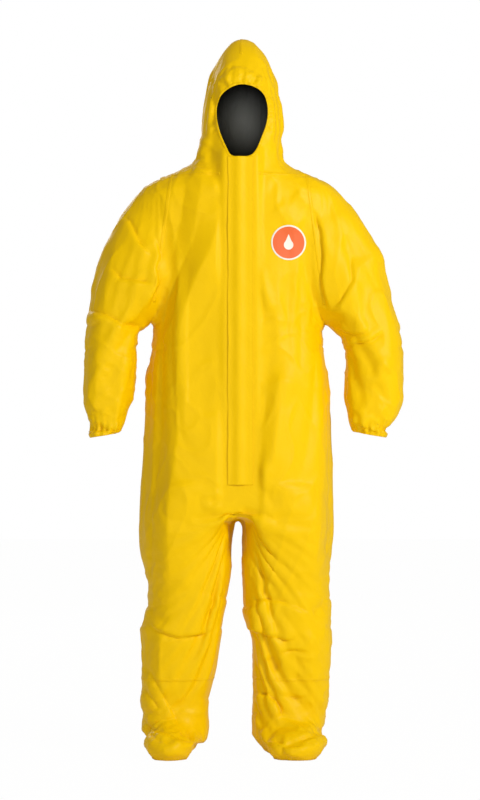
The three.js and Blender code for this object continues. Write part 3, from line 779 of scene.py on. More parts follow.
# ------------------------------------------------------------------ cuts
# The face opening's outline as (x, z), with the notch where the two fronts meet under the chin.
FACE = [
    (0.010, 1.730), (0.041, 1.723), (0.0634, 1.706), (0.0728, 1.682), (0.0749, 1.655), (0.0705, 1.626),
    (0.0602, 1.597), (0.0474, 1.5654), (0.0335, 1.547), (0.016, 1.5415), (0.0055, 1.5405),
    (0.0013, 1.533), (-0.003, 1.5405), (-0.012, 1.542), (-0.0225, 1.5465), (-0.0325, 1.5654),
    (-0.0467, 1.597), (-0.0556, 1.628), (-0.0589, 1.655), (-0.0558, 1.682), (-0.0422, 1.707),
    (-0.0166, 1.724),
]
ARM = {"point": (0.226, 1.155), "run": (0.42, -0.908)}
HIP = {"point": (0.0, 0.615), "run": (0.35, -0.937)}
SHOULDER_ZONE, ELBOW_ZONE = (0.012, 0.098), (0.110, 0.240)
HIP_ZONE, KNEE_ZONE, ANKLE_ZONE, NECK_ZONE = (0.020, 0.115), (0.485, 0.300), (0.190, 0.128), 1.505
CUFF, SOCK_CUT, KNEE_CUT, ARM_CUT = 0.829, 0.195, 0.490, 0.104
SIDE_SEAM = 0.020


def down(limb, points):
    """How far down a limb's slanting row of cuts each point lies."""
    (x, z), (rx, rz) = limb["point"], limb["run"]
    length = math.hypot(rx, rz)
    return ((np.abs(points[:, 0]) - x) * rx + (points[:, 2] - z) * rz) / length


def cut_point(limb, side, distance, y=0.0):
    (x, z), (rx, rz) = limb["point"], limb["run"]
    length = math.hypot(rx, rz)
    return (side * (x + rx * distance / length), y, z + rz * distance / length)


def past_armhole(points):
    """Above 0 in a sleeve and below 0 in the trunk."""
    outwards, high = np.abs(points[:, 0]), points[:, 2]
    run, rise = ARMHOLE[0] - SHOULDER[0], SHOULDER[1] - ARMHOLE[1]
    plane = (rise * (outwards - ARMHOLE[0]) + run * (high - ARMHOLE[1])) / math.hypot(run, rise)
    gap = outwards - np.interp(high, [0.75, 0.9, 1.05, ARMHOLE[1]], [0.285, 0.275, 0.2515, ARMHOLE[0]])
    return np.where(high > ARMHOLE[1], plane, gap)


def above_cuff(points):
    """Above 0 over the slanting end of each sleeve."""
    return points[:, 2] - CUFF + 0.17 * (np.abs(points[:, 0]) - 0.347)


def face_field(points):
    """Above 0 outside the face opening and below 0 inside it, seen from the front."""
    x, z = points[:, 0], points[:, 2]
    near = (np.abs(x) < 0.12) & (z > 1.50) & (z < 1.76) & (points[:, 1] < 0.02)
    out = np.full(len(points), 0.1)
    flat = points[near][:, [0, 2]]
    outline = smooth_loop(np.array(FACE), 4)
    far = np.abs(route_distance(flat, np.vstack([outline, outline[:1]]) * 1000)[0])
    inside = np.zeros(len(flat), bool)
    for (x0, z0), (x1, z1) in zip(outline, np.roll(outline, -1, 0)):
        crosses = (z0 > flat[:, 1]) != (z1 > flat[:, 1])
        at = x0 + (flat[:, 1] - z0) / np.where(z1 == z0, 1e-9, z1 - z0) * (x1 - x0)
        inside ^= crosses & (flat[:, 0] < at)
    out[near] = np.where(inside, -far, far)
    return out


def smooth_loop(loop, between):
    """A closed Catmull-Rom curve through points."""
    a, b, c, d = np.roll(loop, 1, 0), loop, np.roll(loop, -1, 0), np.roll(loop, -2, 0)
    out = []
    for t in np.arange(between) / between:
        square, cube = (2 * a - 5 * b + 4 * c - d) * t**2, (3 * b - a - 3 * c + d) * t**3
        out.append(0.5 * (2 * b + (c - a) * t + square + cube))
    return np.stack(out, 1).reshape(-1, loop.shape[1])


def cut(thing, field, where=None):
    """Splits a mesh along the line where a field over its points is 0."""
    mesh = thing.data
    points = coords(mesh)
    value = field(points)
    value[np.abs(value) < 1e-7] = 1e-7
    ends = np.empty(2 * len(mesh.edges), int)
    mesh.edges.foreach_get("vertices", ends)
    ends = ends.reshape(-1, 2)
    crossing = value[ends[:, 0]] * value[ends[:, 1]] < 0
    if where is not None:
        crossing &= where(points)[ends].all(1)
    bm = bmesh.new()
    bm.from_mesh(mesh)
    bm.edges.ensure_lookup_table()
    edges = [bm.edges[i] for i in np.flatnonzero(crossing)]
    fresh = set()
    for edge, (i, j) in zip(edges, ends[crossing]):
        start = edge.verts[0]
        s, t = (value[i], value[j]) if start.index == i else (value[j], value[i])
        fresh.add(bmesh.utils.edge_split(edge, start, float(s / (s - t)))[1])
    for face in {f for v in fresh for f in v.link_faces}:
        ring = [v for v in face.verts if v in fresh]
        if len(ring) == 2:
            bmesh.utils.face_split(face, *ring)
    bm.to_mesh(mesh)
    bm.free()
    mesh.update()


def polygons(mesh):
    """Each face's vertices, and the middle of each face."""
    sizes = np.empty(len(mesh.polygons), int)
    mesh.polygons.foreach_get("loop_total", sizes)
    corners = np.empty(sizes.sum(), int)
    mesh.loops.foreach_get("vertex_index", corners)
    starts = np.concatenate([[0], np.cumsum(sizes)[:-1]])
    centres = np.add.reduceat(coords(mesh)[corners], starts) / sizes[:, None]
    return sizes, corners, starts, centres


def cavity(mesh, rounds=14):
    """How deep each point lies below the cloth around it, in metres."""
    points, facing = coords(mesh), normals(mesh)
    ends = np.empty(2 * len(mesh.edges), int)
    mesh.edges.foreach_get("vertices", ends)
    a, b = ends.reshape(-1, 2).T
    count = np.bincount(a, minlength=len(points)) + np.bincount(b, minlength=len(points))
    eased = points.copy()
    for _ in range(rounds):
        total = np.empty_like(points)
        for c in range(3):
            total[:, c] = np.bincount(a, eased[b, c], len(points)) + np.bincount(b, eased[a, c], len(points))
        eased = 0.4 * eased + 0.6 * total / np.maximum(count, 1)[:, None]
    return ((eased - points) * facing).sum(1)


def piece_from(name, mesh, chosen, materials, lining=0.0, lined=None):
    """The chosen faces of a mesh as a piece of its own, shaded as if they were still joined to the rest."""
    sizes, corners, starts, centres = polygons(mesh)
    faces = [corners[s:s + n] for s, n in zip(starts[chosen], sizes[chosen])]
    used, index = np.unique(np.concatenate(faces), return_inverse=True)
    breaks = np.cumsum([len(f) for f in faces])[:-1]
    faces = [list(map(int, f)) for f in np.split(index, breaks)]
    points, facing = coords(mesh)[used], normals(mesh)[used]
    dip = np.empty(len(mesh.vertices))
    mesh.attributes["dip"].data.foreach_get("value", dip)
    dip = dip[used]
    count, outer = len(points), len(faces)
    if lining:
        points = np.concatenate([points, points - facing * lining])
        facing, dip = np.concatenate([facing, -facing]), np.concatenate([dip, dip])
        lined = lined or (lambda centre: True)
        backed = [f for f, centre in zip(faces, centres[chosen]) if lined(centre)]
        faces += [[i + count for i in reversed(f)] for f in backed]
    thing = new_object(name, points, faces, *materials)
    if lining:
        thing.data.polygons.foreach_set("material_index", [0] * outer + [1] * (len(faces) - outer))
    thing.data.attributes.new("dip", "FLOAT", "POINT").data.foreach_set("value", dip)
    thing.data.normals_split_custom_set_from_vertices([tuple(n) for n in facing])
    return keep_rest(thing)


# ------------------------------------------------------------------ pieces laid on the cloth
def resample(route, step):
    """Points every step along a route."""
    route = np.array(route, float)
    done = np.concatenate([[0], np.cumsum(np.linalg.norm(np.diff(route, axis=0), axis=1))])
    at = np.linspace(0, done[-1], max(int(done[-1] / step), 2) + 1)
    return np.stack([np.interp(at, done, route[:, c]) for c in range(3)], 1)


def ease(route, rounds, closed):
    for _ in range(rounds):
        if closed:
            route = (np.roll(route, 1, 0) + 2 * route + np.roll(route, -1, 0)) / 4
        else:
            route[1:-1] = (route[:-2] + 2 * route[1:-1] + route[2:]) / 4
    return route


def around(centre, first, second, count=72, spread=(0, 2 * math.pi), reach=0.4):
    """Where rays from a centre, in the plane of two directions, meet the cloth."""
    centre, first, second = Vector(centre), Vector(first).normalized(), Vector(second).normalized()
    closed = spread[1] - spread[0] > 6.2
    out = []
    for angle in np.linspace(*spread, count, endpoint=not closed):
        hit = shared["tree"].ray_cast(centre, first * math.cos(angle) + second * math.sin(angle))[0]
        if hit and (hit - centre).length < reach:
            out.append(hit)
    return np.array(out)


def ribbon(name, route, half, lift, material, closed=False, thick=0.0006, step=0.005):
    """A flat band that follows the cloth along a route: lift is how far off the cloth its middle lies."""
    if closed:
        route = np.vstack([route, route[:1]])
    route = resample(route, step)
    if closed:
        route = route[:-1]
    route = ease(route, 3, closed)
    ahead = np.roll(route, -1, 0) - np.roll(route, 1, 0)
    if not closed:
        ahead[0], ahead[-1] = route[1] - route[0], route[-1] - route[-2]
    across = np.array([-1, -0.72, -0.3, 0.3, 0.72, 1.0])
    rise = np.array([0.15, 0.8, 1.0, 1.0, 0.8, 0.15])
    sign = 1 if lift >= 0 else -1
    tops, unders = [], []
    for point, run in zip(route, ahead):
        base, facing, _, _ = shared["tree"].find_nearest(Vector(point))
        sideways = facing.cross(Vector(run)).normalized()
        for a, r in zip(across, rise):
            spot, out, _, _ = shared["tree"].find_nearest(base + sideways * (a * half))
            out = (out + facing).normalized()
            tops.append(spot + out * (lift * r if sign > 0 else lift))
            unders.append(spot + out * (lift * r - thick if sign > 0 else lift - thick))
    rows, wide = len(route), len(across)
    verts = np.array(tops + unders)
    under = rows * wide
    faces = []
    for i in range(rows if closed else rows - 1):
        j = (i + 1) % rows
        for k in range(wide - 1):
            quad = (i * wide + k, i * wide + k + 1, j * wide + k + 1, j * wide + k)
            faces += [quad, tuple(under + v for v in reversed(quad))]
        for k, flip in ((0, False), (wide - 1, True)):
            quad = (i * wide + k, j * wide + k, under + j * wide + k, under + i * wide + k)
            faces.append(quad[::-1] if flip else quad)
    if not closed:
        for i, flip in ((0, True), (rows - 1, False)):
            ring = [i * wide + k for k in range(wide)] + [under + i * wide + k for k in reversed(range(wide))]
            faces.append(ring[::-1] if flip else ring)
    return keep_rest(new_object(name, verts, faces, material))


def open_edges(mesh):
    """The open edges of a mesh as ordered loops of vertices."""
    _, corners, _, _ = polygons(mesh)
    edges = np.empty(len(mesh.loops), int)
    mesh.loops.foreach_get("edge_index", edges)
    lone = np.flatnonzero(np.bincount(edges, minlength=len(mesh.edges)) == 1)
    after = {}
    for i in lone:
        a, b = mesh.edges[int(i)].vertices
        after.setdefault(a, []).append(b)
        after.setdefault(b, []).append(a)
    loops = []
    while after:
        start = next(iter(after))
        loop, here = [start], after[start][0]
        while here != start:
            loop.append(here)
            onward = [v for v in after[here] if v != loop[-2]]
            here = onward[0] if onward else start
        loops.append(loop)
        for v in loop:
            after.pop(v, None)
    return loops


def hem(name, loop, mesh, width, bulge, material, waves=0.0):
    """A rolled hem round an open edge of the cloth."""
    where, facing = coords(mesh)[loop], normals(mesh)[loop]
    steps = np.linalg.norm(np.diff(np.vstack([where, where[:1]]), axis=0), axis=1)
    done = np.concatenate([[0], np.cumsum(steps)])
    count = int(done[-1] / 0.0024)
    at = np.linspace(0, done[-1], count, endpoint=False)
    where = np.stack([np.interp(at, done, np.append(where[:, c], where[0, c])) for c in range(3)], 1)
    facing = np.stack([np.interp(at, done, np.append(facing[:, c], facing[0, c])) for c in range(3)], 1)
    where, facing = ease(where, 2, True), ease(facing, 6, True)
    facing /= np.linalg.norm(facing, axis=1)[:, None]
    ahead = np.roll(where, -1, 0) - np.roll(where, 1, 0)
    into = np.cross(facing, ahead)
    into /= np.linalg.norm(into, axis=1)[:, None]
    near = [shared["tree"].find_nearest(Vector(p))[3] for p in where[::8] + into[::8] * 0.006]
    if np.mean(near) > 0.0035:
        into = -into
    around_section = np.arange(12) * math.pi / 6
    ripple = 1 + waves * (0.6 * np.sin(at * 640 + 2 * np.sin(at * 90)) + 0.4 * np.sin(at * 1130))
    rings = []
    for angle in around_section:
        a = (0.36 + 0.5 * math.cos(angle)) * width
        rise = -0.0006 + bulge * math.sin(angle) * (1.0 if math.sin(angle) < 0 else ripple)
        rings.append(where + into * a + facing * np.broadcast_to(rise, count)[:, None])
    verts = np.stack(rings, 1).reshape(-1, 3)
    thing = new_object(name, verts, ring_faces(count, len(around_section), True), material)
    face_outwards(thing.data)
    return keep_rest(thing)


def grid_solid(name, outer, inner, *materials):
    """A closed sheet between two grids of points, each rows x columns x 3."""
    rows, wide = outer.shape[:2]
    verts = np.concatenate([outer.reshape(-1, 3), inner.reshape(-1, 3)])
    under, faces = rows * wide, []
    for i in range(rows - 1):
        for k in range(wide - 1):
            quad = (i * wide + k, i * wide + k + 1, (i + 1) * wide + k + 1, (i + 1) * wide + k)
            faces += [quad, tuple(under + v for v in reversed(quad))]
    edge = [(0, k) for k in range(wide)] + [(i, wide - 1) for i in range(1, rows)]
    edge += [(rows - 1, k) for k in range(wide - 2, -1, -1)] + [(i, 0) for i in range(rows - 2, 0, -1)]
    ids = [i * wide + k for i, k in edge]
    for a, b in zip(ids, ids[1:] + ids[:1]):
        faces.append((b, a, under + a, under + b))
    thing = new_object(name, verts, faces, *materials)
    face_outwards(thing.data)
    return keep_rest(thing)


def block(name, low, high, material, bevel=0.0004):
    """A bevelled bar, given by its corners, that leans with the front line."""
    bm = bmesh.new()
    corners = [bm.verts.new((x, y, z)) for z in (low[2], high[2]) for x, y in
               ((low[0], low[1]), (high[0], low[1]), (high[0], high[1]), (low[0], high[1]))]
    for quad in ((3, 2, 1, 0), (4, 5, 6, 7), (0, 1, 5, 4), (1, 2, 6, 5), (2, 3, 7, 6), (3, 0, 4, 7)):
        bm.faces.new([corners[i] for i in quad])
    bmesh.ops.bevel(bm, geom=bm.edges[:], offset=bevel, segments=2, profile=0.6, affect="EDGES")
    mesh = bpy.data.meshes.new(name)
    bm.to_mesh(mesh)
    bm.free()
    mesh.materials.append(material)
    mesh.shade_smooth()
    thing = bpy.data.objects.new(name, mesh)
    bpy.context.collection.objects.link(thing)
    points = coords(mesh)
    points[:, 1] += front(points[:, 2])
    set_coords(mesh, points)
    return thing


def joined(name, *things):
    """Several meshes as one object."""
    bm = bmesh.new()
    for thing in things:
        bm.from_mesh(thing.data)
    mesh = bpy.data.meshes.new(name)
    bm.to_mesh(mesh)
    bm.free()
    mesh.materials.append(things[0].data.materials[0])
    mesh.shade_smooth()
    for thing in things:
        bpy.data.objects.remove(thing, do_unlink=True)
    made = bpy.data.objects.new(name, mesh)
    bpy.context.collection.objects.link(made)
    return keep_rest(made)


def fix(thing, body, material_slot, *nodes):
    """Rides a finished piece on a body, in place of CAD nodes."""
    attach(thing, body)
    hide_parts(*nodes)
    return thing


def bend(thing, bodies, start, end, material_slot, *nodes):
    """Keeps a finished piece where it lies, its place baked into its mesh, in place of CAD nodes, which it
    hides.
    """
    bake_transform(thing)
    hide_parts(*nodes)
    return thing


NECK_BEND = (("torso", "hood"), (0, 0, NECK_ZONE), (0, 0, 1.61))


# ------------------------------------------------------------------ operators
class SUIT_OT_stage(bpy.types.Operator):
    """Floor, background, soft lights and the camera"""

    bl_idname = "suit.stage"
    bl_label = "Stage"

    def execute(self, context):
        colours, sizes = context.scene.suit_colours, context.scene.suit_sizes
        floor, tree, shader = new_material("stage_floor", 0.95, Specular_IOR_Level=0.0)
        shade = tree.node("ShaderNodeTexNoise", Scale=2.0)
        tint = tree.mix(shade * 0.02, tuple(colours.backdrop), (0.9, 0.9, 0.9))
        link(tree, tint, shader.inputs["Base Color"])
        seen = tree.node("ShaderNodeLightPath") * 0.985
        white = tree.node("ShaderNodeEmission", Color=(1, 1, 1, 1), Strength=1.0)
        lit = Value(tree, shader.outputs[0])
        out = floor.node_tree.nodes["Material Output"]
        link(tree, tree.node("ShaderNodeMixShader", i0=seen, i1=lit, i2=white), out.inputs["Surface"])
        verts = [(-14, -12, 0), (14, -12, 0), (14, 14, 0), (-14, 14, 0)]
        new_object("stage_floor", verts, [(0, 1, 2, 3)], floor, smooth=False)
        world = bpy.data.worlds.new("studio")
        world.use_nodes = True
        nodes, links = world.node_tree.nodes, world.node_tree.links
        sky = nodes["Background"]
        path, tone = nodes.new("ShaderNodeLightPath"), nodes.new("ShaderNodeMix")
        tone.data_type = "RGBA"
        tone.inputs[6].default_value, tone.inputs[7].default_value = (0.43, 0.40, 0.30, 1), (1, 1, 1, 1)
        links.new(path.outputs["Is Camera Ray"], tone.inputs[0])
        links.new(tone.outputs[2], sky.inputs["Color"])
        context.scene.world = world
        context.scene.view_settings.view_transform = "Standard"
        for name, place, aim, size, power in (
            ("key_light", (3.6, -4.3, 3.0), (0, 0, 1.0), 1.2, 192),
            ("fill_light", (-1.0, -6.0, 1.0), (0, 0, 0.9), 2.4, 36),
            ("back_light", (-2.0, 5.5, 3.2), (0, 0, 1.0), 2.4, 60),
        ):
            lamp = bpy.data.lights.new(name, "AREA")
            lamp.energy, lamp.size = power, size
            thing = bpy.data.objects.new(name, lamp)
            thing.location = place
            thing.rotation_euler = (Vector(aim) - Vector(place)).to_track_quat("-Z", "Y").to_euler()
            context.collection.objects.link(thing)
        camera = bpy.data.cameras.new("camera")
        camera.sensor_fit, camera.sensor_height = "VERTICAL", 36
        depth = sizes.lens_distance
        view_height, front_depth = 2.048, 0.09  # what the frame shows, at the suit's front
        camera.lens = camera.sensor_height * (depth - front_depth) / view_height
        camera.clip_end = 60
        thing = bpy.data.objects.new("camera", camera)
        thing.location, thing.rotation_euler = (0.0026, -depth, 0.919), (math.pi / 2, 0, 0)
        context.collection.objects.link(thing)
        context.scene.camera = thing
        return {"FINISHED"}


class SUIT_OT_cloth(bpy.types.Operator):
    """The suit's cloth as one skin, folded, draped and creased, with its openings cut"""

    bl_idname = "suit.cloth"
    bl_label = "Cloth"

    def execute(self, context):
        sizes = context.scene.suit_sizes
        skin = joined_volume("suit_skin", sizes.voxel)
        mesh = skin.data
        points = coords(mesh)
        high = points[:, 2]
        hold = 0.04 + 0.5 * smoothstep(0.06, 0.02, high) + 0.3 * smoothstep(1.74, 1.82, high)
        aside = np.abs(points[:, 0])
        hold += 0.4 * smoothstep(0.30, 0.32, aside) * smoothstep(0.86, 0.83, high) * (high > 0.75)
        hold += 0.6 * smoothstep(0.06, 0.03, aside) * (high < 0.64)
        underarm = np.hypot(aside - 0.238, high - 1.09)
        hold += 0.2 * smoothstep(0.12, 0.05, underarm)
        wearer = joined_volume("wearer", 0.02, 0.022)
        drape(skin, wearer, sizes.cloth_frames, sizes.cloth_growth, np.clip(hold, 0, 0.95))
        modifier = skin.modifiers.new("Round", "SUBSURF")
        modifier.levels = modifier.render_levels = 1
        apply_modifiers(skin)
        mesh = skin.data
        points = coords(mesh)
        middle = smoothstep(0.062, 0.040, np.abs(points[:, 0] - 0.004)) * smoothstep(0.60, 0.69, points[:, 2])
        middle *= smoothstep(1.575, 1.54, points[:, 2]) * (points[:, 1] < -0.04)
        keep = 1 - middle
        for folds, axis, side in SEEN_FROM:
            points = fold(points, normals(mesh), folds, axis, side, keep)
            set_coords(mesh, points)
        points = crumple(points, normals(mesh), 0.25 + 0.75 * keep)
        set_coords(mesh, points)
        points = gather(points, normals(mesh))
        points[:, 1] += middle * (front(points[:, 2]) - points[:, 1])
        low = points[:, 2] < 0.006
        points[low, 2] = 0.001 + 0.2 * np.maximum(points[low, 2], 0)
        set_coords(mesh, points)
        modifier = skin.modifiers.new("Ease", "SMOOTH")
        modifier.factor, modifier.iterations = 0.3, 1
        apply_modifiers(skin)
        in_trunk = lambda p: (past_armhole(p) < 1e-4) & (p[:, 2] > 0.58) & (p[:, 2] < 1.53)
        cut(skin, lambda p: p[:, 0].copy(), lambda p: p[:, 2] > 0.55)
        cut(skin, past_armhole, lambda p: (p[:, 2] > 1.12) & (p[:, 2] < 1.52))
        cut(skin, lambda p: p[:, 1] - SIDE_SEAM, in_trunk)
        in_arm = lambda p: (past_armhole(p) > -1e-4) & (p[:, 2] > 0.78) & (p[:, 2] < 1.5)
        for distance in (SHOULDER_ZONE[0], ARM_CUT):
            cut(skin, lambda p, d=distance: down(ARM, p) - d, in_arm)
        cut(skin, lambda p: down(HIP, p) - HIP_ZONE[0], lambda p: (past_armhole(p) < 1e-4) & (p[:, 2] < 0.8))
        for level in (KNEE_CUT, SOCK_CUT):
            cut(skin, lambda p, z=level: p[:, 2] - z)
        cut(skin, lambda p: p[:, 2] - NECK_ZONE, lambda p: np.abs(p[:, 0]) < 0.2)
        cut(skin, above_cuff, in_arm)
        cut(skin, face_field)
        mesh = skin.data
        centres = polygons(mesh)[3]
        gone = (face_field(centres) < 0) & (centres[:, 1] < 0.0)
        gone |= (past_armhole(centres) > 0) & (above_cuff(centres) < 0) & (centres[:, 2] > 0.7)
        bm = bmesh.new()
        bm.from_mesh(mesh)
        bm.faces.ensure_lookup_table()
        bmesh.ops.delete(bm, geom=[bm.faces[i] for i in np.flatnonzero(gone)], context="FACES")
        bm.to_mesh(mesh)
        bm.free()
        mesh.update()
        # how deep the cloth dips; the cloth materials use it to paint shade into creases
        dip = mesh.attributes.new("dip", "FLOAT", "POINT")
        dip.data.foreach_set("value", np.clip(cavity(mesh) / 0.004, 0, 1.5))
        _, corners, starts, _ = polygons(mesh)
        faces = [tuple(map(int, f)) for f in np.split(corners, starts[1:])]
        shared["tree"] = BVHTree.FromPolygons([tuple(p) for p in coords(mesh)], faces)
        shared["edges"] = open_edges(mesh)
        shared["skin"] = skin
        return {"FINISHED"}


class SUIT_OT_panels(bpy.types.Operator):
    """The skin parted into the suit's panels, sleeves, legs, socks and hood"""

    bl_idname = "suit.panels"
    bl_label = "Panels"

    def execute(self, context):
        colours = context.scene.suit_colours
        cloth = cloth_material("coated_fabric", tuple(colours.fabric), tuple(colours.shade))
        gathered = cloth_material("hood_fabric", tuple(colours.fabric), tuple(colours.shade), True)
        # inner face of the hood, with its painted lit patch and painted shade
        dark = lining_material("hood_lining", tuple(colours.lining))
        inside = moulded_material("sleeve_lining", dimmed(colours.fabric, 0.6), 0.6)
        mesh = shared["skin"].data
        c = polygons(mesh)[3]
        high = c[:, 2]
        hood = high > NECK_ZONE
        sleeve = (past_armhole(c) > 0) & (high > 0.7) & ~hood
        leg = (down(HIP, c) > HIP_ZONE[0]) & ~sleeve & (high < 0.75)
        trunk = ~(hood | sleeve | leg)
        for name, side in SIDES:
            mine = c[:, 0] * side > 0
            arm, thigh = down(ARM, c), high > KNEE_CUT

            def part(kind, chosen, materials=(cloth,), **lining):
                faces = np.flatnonzero(chosen & mine)
                return piece_from(f"{kind}_cloth_{name}", mesh, faces, materials, **lining)

            for kind, chosen in (("front", c[:, 1] < SIDE_SEAM), ("back", c[:, 1] >= SIDE_SEAM)):
                fix(part(kind, trunk & chosen), "torso", "coated_fabric", f"{kind}_panel_{name}")
            cap = part("sleeve_cap", sleeve & (arm < SHOULDER_ZONE[0]))
            fix(cap, "torso", "coated_fabric", f"sleeve_cap_{name}")
            upper = part("sleeve_upper", sleeve & (arm >= SHOULDER_ZONE[0]) & (arm < ARM_CUT))
            zone = [cut_point(ARM, side, distance) for distance in SHOULDER_ZONE]
            bend(upper, ("torso", f"upper_arm_{name}"), *zone, "coated_fabric",
                 f"shoulder_fold_{name}", f"sleeve_upper_{name}")
            lower = part("sleeve_lower", sleeve & (arm >= ARM_CUT), (cloth, inside), lining=0.0006,
                         lined=lambda p: p[2] < 0.87)
            zone = [cut_point(ARM, side, distance) for distance in ELBOW_ZONE]
            bend(lower, (f"upper_arm_{name}", f"forearm_{name}"), *zone, "coated_fabric",
                 f"elbow_fold_{name}", f"sleeve_lower_{name}")
            upper = part("leg_upper", leg & thigh)
            zone = [cut_point(HIP, side, distance) for distance in HIP_ZONE]
            bend(upper, ("torso", f"thigh_{name}"), *zone, "coated_fabric",
                 f"hip_fold_{name}", f"leg_upper_{name}")
            lower = part("leg_lower", leg & ~thigh & (high > SOCK_CUT))
            zone = [(0, 0, level) for level in KNEE_ZONE]
            bend(lower, (f"thigh_{name}", f"shin_{name}"), *zone, "coated_fabric",
                 f"knee_fold_{name}", f"leg_lower_{name}")
            sock = part("sock", leg & (high < SOCK_CUT))
            zone = [(0, 0, level) for level in ANKLE_ZONE]
            bend(sock, (f"shin_{name}", f"foot_{name}"), *zone, "coated_fabric",
                 f"ankle_fold_{name}", f"sock_{name}")
            half = part("hood", hood, (gathered, dark), lining=0.0008,
                        lined=lambda p: p[2] > 1.53 or p[1] > 0)
            nodes = (f"hood_panel_{name}", "neck_fold") if side > 0 else (f"hood_panel_{name}",)
            bend(half, *NECK_BEND, "coated_fabric", *nodes)
        return {"FINISHED"}


class SUIT_OT_inside(bpy.types.Operator):
    """Painted shade: a dark sheet inside the trunk, seen down through the face opening, where the inside lies
    in shade
    """

    bl_idname = "suit.inside"
    bl_label = "Inside"

    def execute(self, context):
        # painted shade: the trunk's inside made dark, as it lies in shade below the face opening
        dark = lining_material("trunk_painted_shade", tuple(context.scene.suit_colours.lining))
        rows = [(z, h - 0.016, front(z) + 0.024, b - 0.016) for z, _, h, b in TRUNK if z > 1.1]
        rows = dense(rows, 0.012, 0.012)
        rows = rows[rows[:, 0] < NECK_ZONE]
        around_ring = 48
        verts = []
        for z, half, low, high in rows:
            for turn in np.arange(around_ring) * 2 * math.pi / around_ring:
                x = half * np.sign(math.cos(turn)) * abs(math.cos(turn)) ** 0.85
                verts.append((x, (low + high) / 2 + (high - low) / 2 * math.sin(turn), z))
        faces = [face[::-1] for face in ring_faces(len(rows), around_ring)]
        faces.append(tuple(range(around_ring)))
        lining = keep_rest(new_object("trunk_painted_shade", verts, faces, dark))
        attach(lining, "torso")
        return {"FINISHED"}


class SUIT_OT_hems(bpy.types.Operator):
    """Rolled hems round the face and the wrists, and the elastics inside"""

    bl_idname = "suit.hems"
    bl_label = "Hems and elastics"

    def execute(self, context):
        colours, sizes = context.scene.suit_colours, context.scene.suit_sizes
        tape = cloth_material("hem_fabric", tuple(colours.tape), tuple(colours.shade))
        elastic = weave_material("elastic", tuple(colours.elastic))
        mesh = shared["skin"].data
        points = coords(mesh)
        for loop in shared["edges"]:
            middle = points[loop].mean(0)
            if middle[2] > 1.5 and len(loop) > 30:
                face = hem("face_hem_cloth", loop, mesh, sizes.hem, 0.0016, tape, 0.35)
                bend(face, *NECK_BEND, "seam_tape", "face_hem")
            elif middle[2] < 1 and len(loop) > 20:
                name = "left" if middle[0] > 0 else "right"
                cuff = hem(f"cuff_hem_cloth_{name}", loop, mesh, 0.012, 0.0015, tape, 0.3)
                fix(cuff, f"forearm_{name}", "seam_tape", f"cuff_hem_{name}")
        middle, inset = Vector((0.008, 0, 1.64)), 0.008
        route = []
        for x, z in smooth_loop(np.array(FACE), 3):
            away = (Vector((x, 0, z)) - middle).normalized() * inset
            hit = shared["tree"].ray_cast(Vector((x, -0.3, z)) + away, Vector(Y))[0]
            if hit:
                route.append(hit)
        band = ribbon("face_elastic_band", np.array(route), 0.0025, -0.0022, elastic, closed=True)
        bend(band, *NECK_BEND, "elastic", "face_elastic")
        for name, side in SIDES:
            centre = (side * 0.346, -0.038, CUFF + 0.007)
            route = around(centre, X, Y, reach=0.06)
            band = ribbon(f"cuff_elastic_band_{name}", route, 0.0035, -0.0025, elastic, closed=True)
            fix(band, f"forearm_{name}", "elastic", f"cuff_elastic_{name}")
        route = around((0, 0.02, 0.998), X, Y, 60, (0.25, math.pi - 0.25))
        fix(ribbon("waist_elastic_band", route, 0.011, -0.002, elastic), "torso", "elastic", "waist_elastic")
        return {"FINISHED"}


class SUIT_OT_seams(bpy.types.Operator):
    """Taped seams: neck, hood, back, armholes, sides and ankles"""

    bl_idname = "suit.seams"
    bl_label = "Seams"

    def execute(self, context):
        colours, sizes = context.scene.suit_colours, context.scene.suit_sizes
        tape = cloth_material("seam_tape", tuple(colours.tape), tuple(colours.shade))
        half, lift = sizes.seam / 2, 0.0006
        clear = math.asin(0.048 / 0.105)
        route = around((0, 0, 1.499), X, Y, 110, (-math.pi / 2 + clear, 1.5 * math.pi - clear))
        fix(ribbon("neck_seam", route, half * 0.8, lift, tape), "torso", "seam_tape", "neck_seam_tape")
        route = around((0.006, 0.02, 1.66), Z, Y, 60, (-0.32, 2.2))
        bend(ribbon("hood_seam", route, half, lift, tape), *NECK_BEND, "seam_tape", "hood_seam_tape")
        heights = np.arange(0.68, 1.49, 0.006)
        route = [shared["tree"].ray_cast(Vector((0, 0, z)), Vector(Y))[0] for z in heights]
        seam = ribbon("back_seam", np.array([r for r in route if r]), half, lift, tape)
        fix(seam, "torso", "seam_tape", "back_seam_tape")
        for name, side in SIDES:
            up = Vector((side * (SHOULDER[0] - ARMHOLE[0]), 0, SHOULDER[1] - ARMHOLE[1])).normalized()
            centre = Vector((side * 0.198, 0.02, 1.32))
            route = around(centre, up, Y, 90, (-2.66, 2.66))
            seam = ribbon(f"armhole_seam_{name}", route, half, lift, tape)
            fix(seam, "torso", "seam_tape", f"armhole_tape_{name}")
            route = [shared["tree"].ray_cast(Vector((side * 0.12, SIDE_SEAM, z)), Vector((side, 0, 0)))[0]
                     for z in np.arange(0.725, 1.13, 0.006)]
            route = np.array([r for r in route if r and abs(r[0]) < 0.28])
            seam = ribbon(f"side_seam_{name}", route, half, lift, tape)
            fix(seam, "torso", "seam_tape", f"side_seam_tape_{name}")
            route = around((foot_middle(name), 0.012, SOCK_CUT + 0.006), X, Y, 80)
            seam = ribbon(f"sock_seam_{name}", route, half * 0.8, lift, tape, closed=True)
            fix(seam, f"shin_{name}", "seam_tape", f"sock_seam_tape_{name}")
        return {"FINISHED"}


# x, y and rise of the points round one turn of the coil
TOOTH = (
    (0.0026, -0.0011, 0), (0.0029, -0.0017, 0.0001), (0.0022, -0.0024, 0.0002),
    (0.0008, -0.0025, 0.0003), (-0.0001, -0.0020, 0.0003), (0.0002, -0.0013, 0.0002),
)
